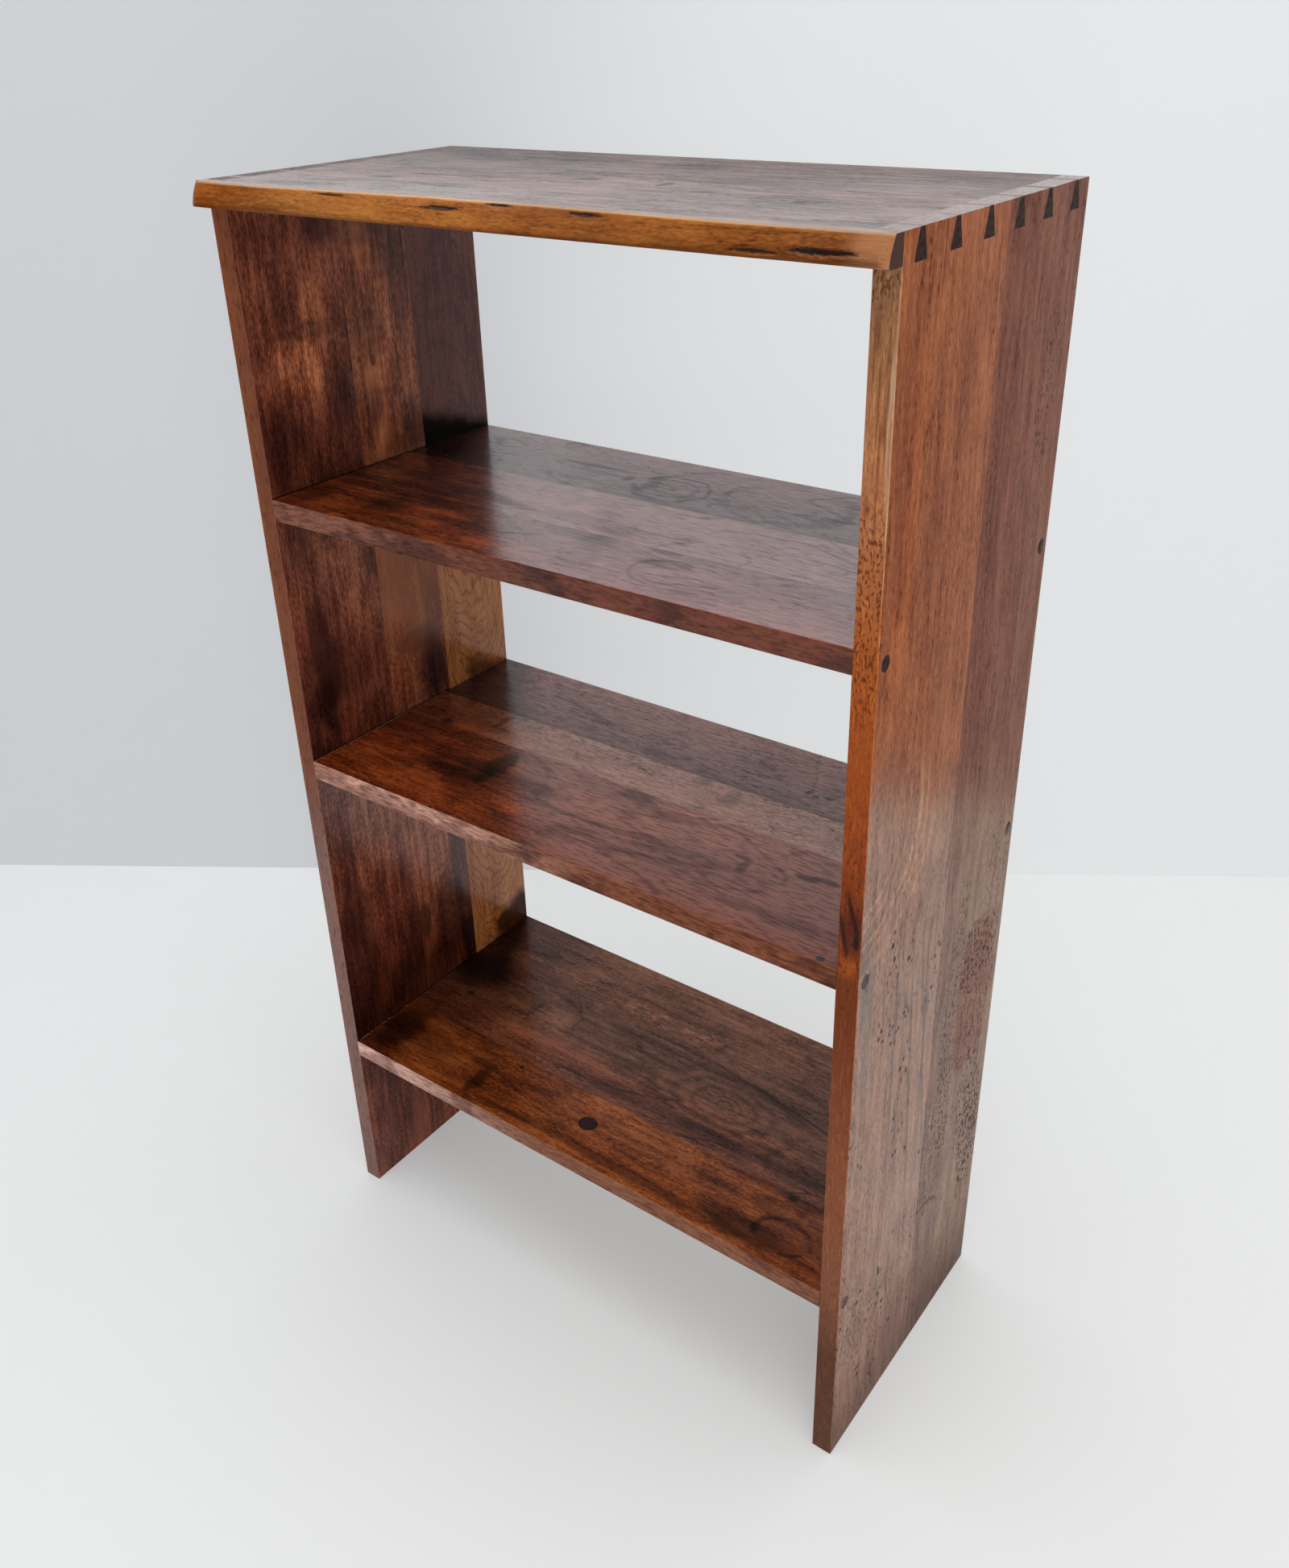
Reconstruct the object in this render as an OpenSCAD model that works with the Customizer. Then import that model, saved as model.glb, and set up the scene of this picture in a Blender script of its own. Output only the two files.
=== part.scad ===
// Bookcase in dark walnut, with no back. The top is dovetailed to two plain sides and keeps
// a live front edge. Three fixed shelves are let into stopped housings and pegged through
// the sides. Every panel is glued up from boards, and each board is a node of its own.

/* [Carcass] */
// Width across the outer faces of the sides
carcass_w = 607; // [450:1:900]
// Depth of the sides and shelves, front to back
carcass_d = 280; // [250:1:400]
// Thickness of the side boards
side_t = 19.05; // [16:0.05:26]
// Thickness of the top boards
top_t = 19.05; // [16:0.05:26]
// Thickness of the shelf boards
shelf_t = 19.05; // [16:0.05:26]

/* [Heights] */
// Clear height from the floor to the lower shelf
floor_gap = 183.75; // [60:0.05:300]
// Clear height between the lower and middle shelves
lower_bay = 325.55; // [200:0.05:450]
// Clear height between the middle and upper shelves
middle_bay = 240.95; // [150:0.05:400]
// Clear height between the upper shelf and the top
upper_bay = 240.35; // [150:0.05:400]

/* [Live edge] */
// How far the top stands past the sides at its upper face
live_edge_top = 10.5; // [5:0.5:15]
// How far it stands past them at its fullest
live_edge_full = 20; // [16:0.5:35]
// Radius of its rounded lower corner
live_edge_round = 3; // [1:0.5:6]

/* [Dovetails] */
// Number of pins at each end of the top
pin_count = 6; // [4:1:7]
// Width of a pin at the upper face
pin_narrow = 6; // [4:0.5:9]
// Width of a pin at the underside of the top
pin_wide = 17; // [12:0.5:22]
// Distance from the front and back edges to the middle of the nearest pin
pin_margin = 22.3; // [18:0.1:30]

/* [Shelf joints] */
// Depth of the housings that take the shelf ends
housing_depth = 6; // [3:0.5:9]
// Distance from a housing to the front and back edges
housing_stop = 24; // [20:1:60]
// Relief between a shelf end and the bottom of its housing
housing_relief = 0.2; // [0.1:0.1:0.5]
// Diameter of a peg
peg_d = 12; // [8:0.5:13]
// Distance from the front and back edges to the middle of the nearest peg
peg_inset = 10.5; // [9:0.5:18]
// How far a peg goes into the end of a shelf
peg_reach = 38; // [20:1:60]
// Radial clearance round a peg
peg_clearance = 0.05; // [0.02:0.01:0.1]
// Room for glue past the inner end of a peg
peg_relief = 0.8; // [0.4:0.1:2]

/* [Boards] */
// Width of the top's front board, from the sides' front edges to its glue line
top_front_w = 140.5; // [100:0.5:180]
// Width of the left side's front board
left_front_w = 109.5; // [80:0.5:120]
// Width of the left side's middle board
left_middle_w = 80; // [50:0.5:90]
// Width of the right side's front board
right_front_w = 146.5; // [120:0.5:150]
// Width of the right side's middle board
right_middle_w = 50; // [40:0.5:60]
// Width of the upper shelf's front board
upper_front_w = 83.5; // [60:0.5:100]
// Width of the upper shelf's middle board
upper_middle_w = 85.5; // [60:0.5:100]
// Width of the middle shelf's front board
middle_front_w = 129; // [100:0.5:140]
// Width of the middle shelf's middle board
middle_middle_w = 53.5; // [40:0.5:70]
// Width of the lower shelf's front board
lower_front_w = 81; // [60:0.5:180]

/* [Hidden] */
$fn = 48;

// Cutters run this far past the faces they cut
past = 1;
// Straight steps along the curve of the live edge, and round its lower corner
live_edge_steps = 10;
corner_steps = 5;

// Undersides of the shelves and of the top
lower_z = floor_gap;
middle_z = lower_z + shelf_t + lower_bay;
upper_z = middle_z + shelf_t + middle_bay;
top_z = upper_z + shelf_t + upper_bay;
carcass_h = top_z + top_t;
shelf_zs = [lower_z, middle_z, upper_z];

// Half widths to the outer and inner faces of the sides
outer_x = carcass_w / 2;
inner_x = outer_x - side_t;

// Distances from the front edges of the sides to the pegs, the pins and the glue lines
front_peg_y = peg_inset;
rear_peg_y = carcass_d - peg_inset;
pin_pitch = (carcass_d - 2 * pin_margin) / (pin_count - 1);
pin_ys = [for (i = [0 : pin_count - 1]) pin_margin + i * pin_pitch];
top_seams = [top_front_w];
left_seams = [left_front_w, left_front_w + left_middle_w];
right_seams = [right_front_w, right_front_w + right_middle_w];
upper_seams = [upper_front_w, upper_front_w + upper_middle_w];
middle_seams = [middle_front_w, middle_front_w + middle_middle_w];
lower_seams = [lower_front_w];

// Front and back of board i of a panel. The first board starts ahead of the live edge.
function board_front(seams, i) = i == 0 ? -2 * live_edge_full : seams[i - 1];
function board_back(seams, i) = i == len(seams) ? carcass_d : seams[i];

// Where a glue line runs into a pin, the tails beside that pin each stay in one board.
function tail_seam(y) =
    let (pins_hit = [for (pin_y = pin_ys) if (abs(y - pin_y) < pin_wide / 2) pin_y])
    len(pins_hit) > 0 ? pins_hit[0] : y;

// Outline of the live edge from its upper corner down and round its lower one
function live_edge_points() = concat(
    [for (i = [0 : live_edge_steps])
        let (share = i / live_edge_steps)
        [-live_edge_top - (live_edge_full - live_edge_top) * sin(90 * share),
            top_t - (top_t - live_edge_round) * share]],
    [for (i = [1 : corner_steps])
        let (turn = 180 + 90 * i / corner_steps)
        [-live_edge_full + live_edge_round * (1 + cos(turn)),
            live_edge_round * (1 + sin(turn))]]
);

// Moves a child from the sides' front edges at Y = 0 to the middle of the whole depth
module centred() {
    translate([0, (live_edge_full - carcass_d) / 2, 0]) children();
}

// A box given by its lowest and highest corners
module block(low, high) {
    translate(low) cube(high - low);
}

// An outline drawn in Y and Z, run along X for the given half length each way
module along_x(half_length) {
    translate([-half_length, 0, 0]) rotate([90, 0, 90]) linear_extrude(2 * half_length) children();
}

// Every pin, run right through the width of the carcass. With extra it is the cutter for the
// sockets, which runs past the joint on every side along the pins' own slopes.
module pins(extra = 0) {
    function half_width(z) = (pin_wide - (pin_wide - pin_narrow) * z / top_t) / 2;
    low = -extra;
    high = top_t + extra;
    for (pin_y = pin_ys)
        translate([0, pin_y, top_z])
            along_x(outer_x + extra)
                polygon([
                    [-half_width(low), low], [half_width(low), low],
                    [half_width(high), high], [-half_width(high), high]
                ]);
}

// A rod along X from one x to another
module rod(from_x, to_x, y, z, d) {
    translate([from_x, y, z]) rotate([0, 90, 0]) cylinder(d = d, h = to_x - from_x);
}

// Peg holes of the left end, through the side and into the shelves
module left_peg_holes() {
    for (z = shelf_zs, y = [front_peg_y, rear_peg_y])
        rod(-outer_x - past, -inner_x + peg_reach + peg_relief, y, z + shelf_t / 2,
            peg_d + 2 * peg_clearance);
}

// Board i of the top, with the live edge, its pins and its run between the sides
module top_board(seams, i) {
    intersection() {
        union() {
            translate([0, 0, top_z])
                along_x(outer_x) polygon(concat([[0, 0], [0, top_t]], live_edge_points()));
            block([-inner_x, 0, top_z], [inner_x, carcass_d, carcass_h]);
            pins();
        }
        block([-carcass_w, board_front(seams, i), 0], [carcass_w, board_back(seams, i), 2 * carcass_h]);
    }
}

// Board i of the left side: its length below the joint, with the housings for the shelves and
// the peg holes cut out, and its tails above, with the sockets between them
module side_board(seams, i) {
    front = max(0, board_front(seams, i));
    back = board_back(seams, i);
    difference() {
        block([-outer_x, front, 0], [-inner_x, back, top_z]);
        for (z = shelf_zs)
            block([-inner_x - housing_depth, housing_stop, z],
                [-inner_x + past, carcass_d - housing_stop, z + shelf_t]);
        left_peg_holes();
    }
    difference() {
        block([-outer_x, tail_seam(front), top_z], [-inner_x, tail_seam(back), carcass_h]);
        pins(past);
    }
}

// Board i of a shelf, with the tongues at its ends and its peg holes
module shelf_board(z, seams, i) {
    tongue_x = inner_x + housing_depth - housing_relief;
    difference() {
        intersection() {
            union() {
                block([-inner_x, 0, z], [inner_x, carcass_d, z + shelf_t]);
                block([-tongue_x, housing_stop, z], [tongue_x, carcass_d - housing_stop, z + shelf_t]);
            }
            block([-carcass_w, board_front(seams, i), 0],
                [carcass_w, board_back(seams, i), carcass_h]);
        }
        left_peg_holes();
        mirror([1, 0, 0]) left_peg_holes();
    }
}

// A peg at the left end of the shelf at height z
module left_peg(z, y) {
    centred() rod(-outer_x, -inner_x + peg_reach, y, z + shelf_t / 2, peg_d);
}

// A peg at the right end of the shelf at height z
module right_peg(z, y) {
    mirror([1, 0, 0]) left_peg(z, y);
}

module top_front_board() { color("#6b4327") centred() top_board(top_seams, 0); }
module top_rear_board() { color("#5b3c2b") centred() top_board(top_seams, 1); }

module left_front_board() { color("#4a2414") centred() side_board(left_seams, 0); }
module left_middle_board() { color("#55301b") centred() side_board(left_seams, 1); }
module left_rear_board() { color("#76543a") centred() side_board(left_seams, 2); }

module right_front_board() { color("#8a4a2b") centred() mirror([1, 0, 0]) side_board(right_seams, 0); }
module right_middle_board() { color("#6a3d2e") centred() mirror([1, 0, 0]) side_board(right_seams, 1); }
module right_rear_board() { color("#744836") centred() mirror([1, 0, 0]) side_board(right_seams, 2); }

module upper_shelf_front_board() { color("#5f3421") centred() shelf_board(upper_z, upper_seams, 0); }
module upper_shelf_middle_board() { color("#55301f") centred() shelf_board(upper_z, upper_seams, 1); }
module upper_shelf_rear_board() { color("#493029") centred() shelf_board(upper_z, upper_seams, 2); }

module middle_shelf_front_board() { color("#643520") centred() shelf_board(middle_z, middle_seams, 0); }
module middle_shelf_middle_board() { color("#80543a") centred() shelf_board(middle_z, middle_seams, 1); }
module middle_shelf_rear_board() { color("#4b3029") centred() shelf_board(middle_z, middle_seams, 2); }

module lower_shelf_front_board() { color("#6e3b20") centred() shelf_board(lower_z, lower_seams, 0); }
module lower_shelf_rear_board() { color("#46302a") centred() shelf_board(lower_z, lower_seams, 1); }

module upper_left_front_peg() { color("#33231d") left_peg(upper_z, front_peg_y); }
module upper_left_rear_peg() { color("#33231d") left_peg(upper_z, rear_peg_y); }
module upper_right_front_peg() { color("#33231d") right_peg(upper_z, front_peg_y); }
module upper_right_rear_peg() { color("#33231d") right_peg(upper_z, rear_peg_y); }
module middle_left_front_peg() { color("#33231d") left_peg(middle_z, front_peg_y); }
module middle_left_rear_peg() { color("#33231d") left_peg(middle_z, rear_peg_y); }
module middle_right_front_peg() { color("#33231d") right_peg(middle_z, front_peg_y); }
module middle_right_rear_peg() { color("#33231d") right_peg(middle_z, rear_peg_y); }
module lower_left_front_peg() { color("#33231d") left_peg(lower_z, front_peg_y); }
module lower_left_rear_peg() { color("#33231d") left_peg(lower_z, rear_peg_y); }
module lower_right_front_peg() { color("#33231d") right_peg(lower_z, front_peg_y); }
module lower_right_rear_peg() { color("#33231d") right_peg(lower_z, rear_peg_y); }

top_front_board();
top_rear_board();
left_front_board();
left_middle_board();
left_rear_board();
right_front_board();
right_middle_board();
right_rear_board();
upper_shelf_front_board();
upper_shelf_middle_board();
upper_shelf_rear_board();
middle_shelf_front_board();
middle_shelf_middle_board();
middle_shelf_rear_board();
lower_shelf_front_board();
lower_shelf_rear_board();
upper_left_front_peg();
upper_left_rear_peg();
upper_right_front_peg();
upper_right_rear_peg();
middle_left_front_peg();
middle_left_rear_peg();
middle_right_front_peg();
middle_right_rear_peg();
lower_left_front_peg();
lower_left_rear_peg();
lower_right_front_peg();
lower_right_rear_peg();
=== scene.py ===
import math

import bmesh
import bpy
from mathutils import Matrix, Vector, noise


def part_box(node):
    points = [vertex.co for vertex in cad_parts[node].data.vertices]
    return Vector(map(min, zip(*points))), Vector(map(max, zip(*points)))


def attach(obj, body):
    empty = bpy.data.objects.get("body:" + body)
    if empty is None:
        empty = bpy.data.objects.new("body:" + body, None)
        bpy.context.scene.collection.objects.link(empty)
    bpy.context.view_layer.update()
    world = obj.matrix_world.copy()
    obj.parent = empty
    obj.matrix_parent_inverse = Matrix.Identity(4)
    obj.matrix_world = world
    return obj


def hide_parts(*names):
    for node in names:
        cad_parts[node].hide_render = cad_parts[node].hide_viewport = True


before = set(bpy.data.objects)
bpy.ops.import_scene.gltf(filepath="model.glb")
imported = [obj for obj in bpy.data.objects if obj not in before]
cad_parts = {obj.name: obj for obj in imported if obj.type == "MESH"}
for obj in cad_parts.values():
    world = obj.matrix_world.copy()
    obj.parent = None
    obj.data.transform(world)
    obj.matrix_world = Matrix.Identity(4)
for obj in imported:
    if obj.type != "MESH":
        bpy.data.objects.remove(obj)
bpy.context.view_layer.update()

# Left side: three walnut boards glued edge to edge, planed flush and stood on end. Tails are sawn
# in the upper end, and the open arrises are eased with a few strokes of a block plane. Inside it
# is blotched red-brown, with a ripple-figured board in the middle and a tan one at the back.
front, back = -0.13, 0.15
outer, inner = 0.3035, 0.28445
height = 1.0668
touching = 0.00002


class Amount:
    """A number, colour or direction that runs over a piece. Sums on numbers add Math nodes."""

    def __init__(self, finish, socket):
        self.finish = finish
        self.socket = socket

    def sum(self, operation, first, second):
        return self.finish.node("Math", {"operation": operation}, {0: first, 1: second})

    def __add__(self, other):
        return self.sum("ADD", self, other)

    def __radd__(self, other):
        return self.sum("ADD", other, self)

    def __sub__(self, other):
        return self.sum("SUBTRACT", self, other)

    def __rsub__(self, other):
        return self.sum("SUBTRACT", other, self)

    def __mul__(self, other):
        return self.sum("MULTIPLY", self, other)

    def __rmul__(self, other):
        return self.sum("MULTIPLY", other, self)

    def __truediv__(self, other):
        return self.sum("DIVIDE", self, other)

    def __pow__(self, other):
        return self.sum("POWER", self, other)

    def __abs__(self):
        return self.sum("ABSOLUTE", self, 0.0)

    def fraction(self):
        return self.sum("FRACT", self, 0.0)


class Finish:
    """One material at the bench: node() adds any node, lay() lays one colour over another."""

    def __init__(self, name):
        self.material = bpy.data.materials.new(name)
        self.material.use_nodes = True
        self.tree = self.material.node_tree
        self.shader = self.tree.nodes["Principled BSDF"]

    def node(self, kind, settings=None, inputs=None, output=0):
        made = self.tree.nodes.new("ShaderNode" + kind)
        for name, value in (settings or {}).items():
            if name == "stops":
                for position, colour in value[2:]:
                    made.color_ramp.elements.new(position)
                for stop, (position, colour) in zip(made.color_ramp.elements, sorted(value)):
                    stop.position = position
                    stop.color = (*colour, 1.0)
            else:
                setattr(made, name, value)
        for name, value in (inputs or {}).items():
            if isinstance(value, Amount):
                self.tree.links.new(value.socket, made.inputs[name])
            else:
                made.inputs[name].default_value = value
        return Amount(self, made.outputs[output])

    def between(self, value, low, high):
        """0 at low and 1 at high with a soft turn, also where low is the larger."""
        ends = {0: value, 1: min(low, high), 2: max(low, high), 3: float(low > high), 4: float(low < high)}
        return self.node("MapRange", {"interpolation_type": "SMOOTHSTEP"}, ends)

    def lay(self, colour, over, share):
        over, colour = [(*c, 1.0) if isinstance(c, tuple) else c for c in (over, colour)]
        return self.node("Mix", {"data_type": "RGBA"}, {0: share, 6: over, 7: colour}, output=2)

    def feed(self, **sockets):
        """Links each amount to the shader's socket of that name, with _ for a space."""
        for name, value in sockets.items():
            self.tree.links.new(value.socket, self.shader.inputs[name.replace("_", " ")])


class Walnut(Finish):
    """Walnut sawn from the log: rings round a heart, fibres, flecks, open pores and blotches.
    Along is up on the sides and left to right on the shelves, across is front to back. The heart
    is where the log's middle lay, across and through, and ring is the width of one year's growth."""

    def __init__(self, name, upright, seed, heart, ring, deep, middle, bright,
                 rings=0.25, mottle=0.5, ripple=0.0, pores=0.6, lean=0.05, grain=1.0):
        super().__init__(name)
        self.seed = seed
        turned = (0.0, math.pi / 2 if upright else 0.0, 0.0)
        here = self.node("TexCoord", output="Object")
        self.place = self.node("Mapping", None, {"Vector": here, "Rotation": turned})
        parts = self.node("SeparateXYZ", None, {0: self.place}).socket.node
        self.along, self.across, self.through = (Amount(self, socket) for socket in parts.outputs)
        facing = self.node("TexCoord", output="Normal")
        facing = self.node("Mapping", {"vector_type": "NORMAL"}, {"Vector": facing, "Rotation": turned})
        parts = self.node("SeparateXYZ", None, {0: facing}).socket.node
        along, across, through = (abs(Amount(self, socket)) for socket in parts.outputs)
        self.end_grain = self.between(along, 0.6, 0.8)
        self.edge = self.between(across, 0.6, 0.8)
        self.arris = self.between(along + across + through, 1.15, 1.35)
        self.face = 1.0
        drift = self.vector("SUBTRACT", self.cloud(1.6, 7.0, 2.0, "Color"), (0.5, 0.5, 0.5))
        drift = self.vector("MULTIPLY", drift, (0.0, 0.07, 0.07))
        line = self.vector("ADD", self.vector("MULTIPLY", self.place, (0.0, 1.0, 1.0)), drift)
        line = self.vector("SUBTRACT", line, (0.0, *heart))
        radius = self.node("VectorMath", {"operation": "LENGTH"}, {0: line}, output=1)
        self.wave = self.cloud(3.0, 9.0)
        self.grain = self.cloud(22.0, 210.0, 4.0)
        self.fleck = self.cloud(190.0, 760.0, 3.0)
        self.streak = self.cloud(4.0, 95.0, 4.0)
        self.blotch = self.cloud(9.0, 17.0, 5.0, warp=0.7)
        self.fray = (self.cloud(28.0, 48.0, 5.0) - 0.5) * 2.0
        year = (radius + self.along * lean) / ring + self.wave * 2.0 + (self.grain - 0.5) * 0.5
        late = {"stops": [(0.0, (0.35,) * 3), (0.08, (0.05,) * 3), (0.55, (0.12,) * 3), (0.8, (0.5,) * 3),
                          (0.92, (1.0,) * 3), (1.0, (0.35,) * 3)]}
        self.late = self.node("ValToRGB", late, {0: year.fraction()})
        clump = self.between(self.streak + (self.blotch - 0.5) * 0.5, 0.42, 0.62)
        self.pore = self.between(self.cloud(140.0, 620.0, 2.0), 0.58, 0.66) * (0.35 + clump * 0.65)
        fine = ((self.grain - 0.5) * 0.7 + (self.fleck - 0.5) + (self.streak - 0.5) * 0.4) * grain
        tone = (self.late - 0.3) * rings + fine + self.fray * mottle * 0.45
        tone = tone + (self.blotch - 0.5) * mottle * 2.2 + 0.5
        if ripple:
            swell = self.along * 480.0 + self.wave * 60.0
            swell = swell.sum("SINE", swell, 0.0)
            where = self.between(self.cloud(5.0, 13.0), 0.44, 0.62)
            tone = tone - swell * where * ripple * 0.12 + where * ripple * 0.03
        tones = {"stops": [(0.22, bright), (0.8, deep), (0.5, middle)]}
        self.tone = tone
        self.colour = self.node("ValToRGB", tones, {0: tone})
        self.shade((0.3, 0.26, 0.28), self.pore * pores)
        self.height = self.grain * 0.4 + self.fleck * 0.2 - self.pore * 0.7 - self.late * 0.1
        self.shine = 1.0 + (self.blotch - 0.5) * 0.4 - self.pore * 0.5 - (self.tone - fine * 0.5 - 0.5) * 0.7

    def vector(self, operation, first, second):
        return self.node("VectorMath", {"operation": operation}, {0: first, 1: second})

    def cloud(self, along, across, detail=2.0, output="Fac", warp=0.0):
        """Soft noise drawn out along the grain: so many waves a metre along and across."""
        self.seed += 1.7
        spread = {"Vector": self.place, "Location": (self.seed, self.seed * 0.7, 0.0)}
        spread = self.node("Mapping", None, {**spread, "Scale": (along, across, across)})
        noise_inputs = {"Vector": spread, "Scale": 1.0, "Detail": detail, "Distortion": warp}
        return self.node("TexNoise", None, noise_inputs, output=output)

    def figure(self, along, across, lines, colour, share, warp=0.6):
        """Fine lines like a map's contours, where the saw ran nearly level with the rings."""
        level = (self.cloud(along, across, 1.5, warp=warp) * lines).fraction()
        line = self.between(abs(level - 0.5 + (self.grain - 0.5) * 0.3), 0.12, 0.02)
        self.smudge(line * self.between(self.blotch, 0.4, 0.56) * share, colour, 0.35)

    def arches(self, across, steep, apart, colour, share):
        """Nested arches, where the saw ran flat through the rings beside the heart."""
        level = self.along - (self.across - across) ** 2.0 * steep
        level = level + self.fray * 0.006 + (self.cloud(14.0, 30.0, 2.0) - 0.5) * 0.08
        level = abs((level / apart).fraction() - 0.5)
        self.shade(colour, self.between(level, 0.2, 0.02) * share)

    def fibres(self, share):
        """Fine dark fibres, a finger's breadth long, and the pores between them."""
        fibre = self.between(self.cloud(60.0, 420.0, 4.0), 0.46, 0.62)
        self.smudge((fibre + self.pore * 0.6) * share, (0.55, 0.5, 0.5))

    def dots(self, along, across, size):
        """Small round pits strewn about in groups, so many a metre, no two of one size."""
        spread = self.node("Mapping", None, {"Vector": self.place, "Scale": (along, across, across)})
        centre = self.node("TexVoronoi", {"voronoi_dimensions": "2D"}, {"Vector": spread, "Scale": 1.0})
        centre = centre + (self.cloud(along * 0.4, across * 0.4) - 0.5) * 0.6
        return self.between(centre, size, size * 0.5) * self.face

    def far(self, along, across, reach_along, reach_across, ragged):
        """How far off a point lies, as a share of the reach, roughened by the fray."""
        away = ((self.along - along) / reach_along) ** 2.0 + ((self.across - across) / reach_across) ** 2.0
        return away ** 0.5 + self.fray * ragged

    def run(self, low, high, frayed=0.0):
        """Between two places along the board, with a frayed line where it turns."""
        return self.between(self.along + self.fray * frayed if frayed else self.along, low, high)

    def cross(self, low, high, frayed=0.0):
        """The same from front to back."""
        return self.between(self.across + self.fray * frayed if frayed else self.across, low, high)

    def front_edge(self):
        """The board's narrow front alone."""
        return self.edge * self.cross(front + 0.002, front + 0.0005)

    def spot(self, along, across, reach_along, reach_across, ragged=0.5, soft=0.6):
        """A patch round one place, with a ragged and more or less soft outline."""
        away = self.far(along, across, reach_along, reach_across, ragged)
        return self.between(away, 1.0 + soft / 2, 1.0 - soft / 2) * self.face

    def loop(self, along, across, reach_along, reach_across, width=0.14, ragged=0.35):
        """A broken ring round one place."""
        away = self.far(along, across, reach_along, reach_across, ragged)
        ring = self.between(abs(away - 1.0), width, width * 0.2)
        return ring * self.between(self.blotch, 0.38, 0.52) * self.face

    def stain(self, colour, share):
        """Lays a colour over the wood."""
        self.colour = self.lay(colour, self.colour, share)

    def shade(self, colour, share):
        """Darkens or brightens the wood, so its own grain still shows."""
        self.colour = self.node("Mix", {"data_type": "RGBA", "blend_type": "MULTIPLY"},
                                {0: share, 6: self.colour, 7: (*colour, 1.0)}, output=2)

    def patches(self, colour, ragged, soft, *places):
        """Patches of darker or brighter wood, each a place, its reach and its share."""
        for along, across, long, wide, share in places:
            self.shade(colour, self.spot(along, across, long, wide, ragged, soft) * share)

    def dim(self, share):
        self.shine = self.shine * (1.0 - share)

    def smudge(self, share, colour=(0.34, 0.31, 0.36), dull=0.35):
        """A dark mark in the wood and its polish alike."""
        self.shade(colour, share)
        self.dim(share * dull)

    def marks(self, colour, ragged, soft, *places, dull=0.35):
        """Dark marks, each a place, its reach and its share."""
        for along, across, long, wide, share in places:
            self.smudge(self.spot(along, across, long, wide, ragged, soft) * share, colour, dull)

    def sink(self, share, depth):
        self.height = self.height - share * depth

    def pit(self, share, colour=(0.03, 0.011, 0.007)):
        """Open holes, dark inside, where no polish lies."""
        self.stain(colour, share)
        self.sink(share, 5.0)
        self.dim(share * 0.9)

    def polish(self, coat, edge_coat=0.3, gloss=0.2, index=1.5, end=(0.03, 0.012, 0.008), end_coat=0.3):
        """End grain drinks the oil and goes dark. The arrises are rubbed a little paler, and a
        satin coat lies over it all, thin on the edges."""
        ends = tuple(c * 2.4 for c in end)
        ends = self.lay(end, ends, self.between(self.late * 0.5 + self.grain, 0.45, 0.9))
        self.stain(ends, self.end_grain)
        self.shade((1.6, 1.65, 1.7), self.arris * (0.3 + self.blotch) * (1.0 - self.end_grain))
        shine = self.shine * (coat + self.edge * (edge_coat - coat))
        shine = shine * (1.0 + self.end_grain * (end_coat - 1.0))
        shine = shine.sum("MINIMUM", shine, 1.0)
        rough = 0.42 + self.pore * 0.2 + (self.grain - 0.5) * 0.3
        relief = self.node("Bump", None, {"Strength": 1.0, "Distance": 0.00012, "Height": self.height})
        self.feed(Base_Color=self.colour, Roughness=rough, Coat_Weight=shine, Normal=relief)
        self.shader.inputs["Specular IOR Level"].default_value = 0.05
        self.shader.inputs["Coat Roughness"].default_value = gloss
        self.shader.inputs["Coat IOR"].default_value = index
        return self.material


def pick_edges(board, arrises):
    """Selects the edges that lie where two planes meet, each plane an axis and its place."""
    skin = bmesh.from_edit_mesh(board.data)
    for edge in skin.edges:
        for planes in arrises:
            if all(abs(end.co[axis] - place) < touching for end in edge.verts for axis, place in planes):
                edge.select_set(True)
    bmesh.update_edit_mesh(board.data)


def put_in_room(name, data):
    """A new object with this mesh, lamp or camera."""
    made = bpy.data.objects.new(name, data)
    bpy.context.scene.collection.objects.link(made)
    return made


def bring_board(node, arrises, ease=0.0008):
    """The board as the frame has it, in one clean skin, with its open arrises eased."""
    board = put_in_room(node + "_wood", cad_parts[node].data.copy())
    board.data.materials.clear()
    bpy.ops.object.select_all(action="DESELECT")
    board.select_set(True)
    bpy.context.view_layer.objects.active = board
    bpy.ops.object.mode_set(mode="EDIT")
    bpy.ops.mesh.select_mode(type="EDGE")
    bpy.ops.mesh.select_all(action="SELECT")
    bpy.ops.mesh.remove_doubles(threshold=0.00001)
    bpy.ops.mesh.dissolve_limited(angle_limit=math.radians(1))
    bpy.ops.mesh.select_all(action="DESELECT")
    pick_edges(board, arrises)
    bpy.ops.mesh.bevel(offset=ease, segments=3)
    bpy.ops.object.mode_set(mode="OBJECT")
    return board


def fit(board, slot, *materials):
    """Gives the board its finish, and lets it stand for the frame's node of that name."""
    for material in materials:
        board.data.materials.append(material)
    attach(board, "root")
    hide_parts(board.name.removesuffix("_wood"))


faces = [(0, x) for x in (-outer, -inner, inner, outer)]
upright_arrises = [(face, (1, y)) for face in faces for y in (front, back)]
foot_arrises = [(face, (2, 0.0)) for face in faces] + [((1, y), (2, 0.0)) for y in (front, back)]
side_arrises = upright_arrises + foot_arrises

board = bring_board("left_front_board", side_arrises)
wood = Walnut("left front walnut", True, 3.0, (-0.09, 0.36), 0.0065, (0.056, 0.01, 0.005),
              (0.15, 0.034, 0.016), (0.27, 0.074, 0.036), rings=0.06, mottle=0.5, grain=1.3)


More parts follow.
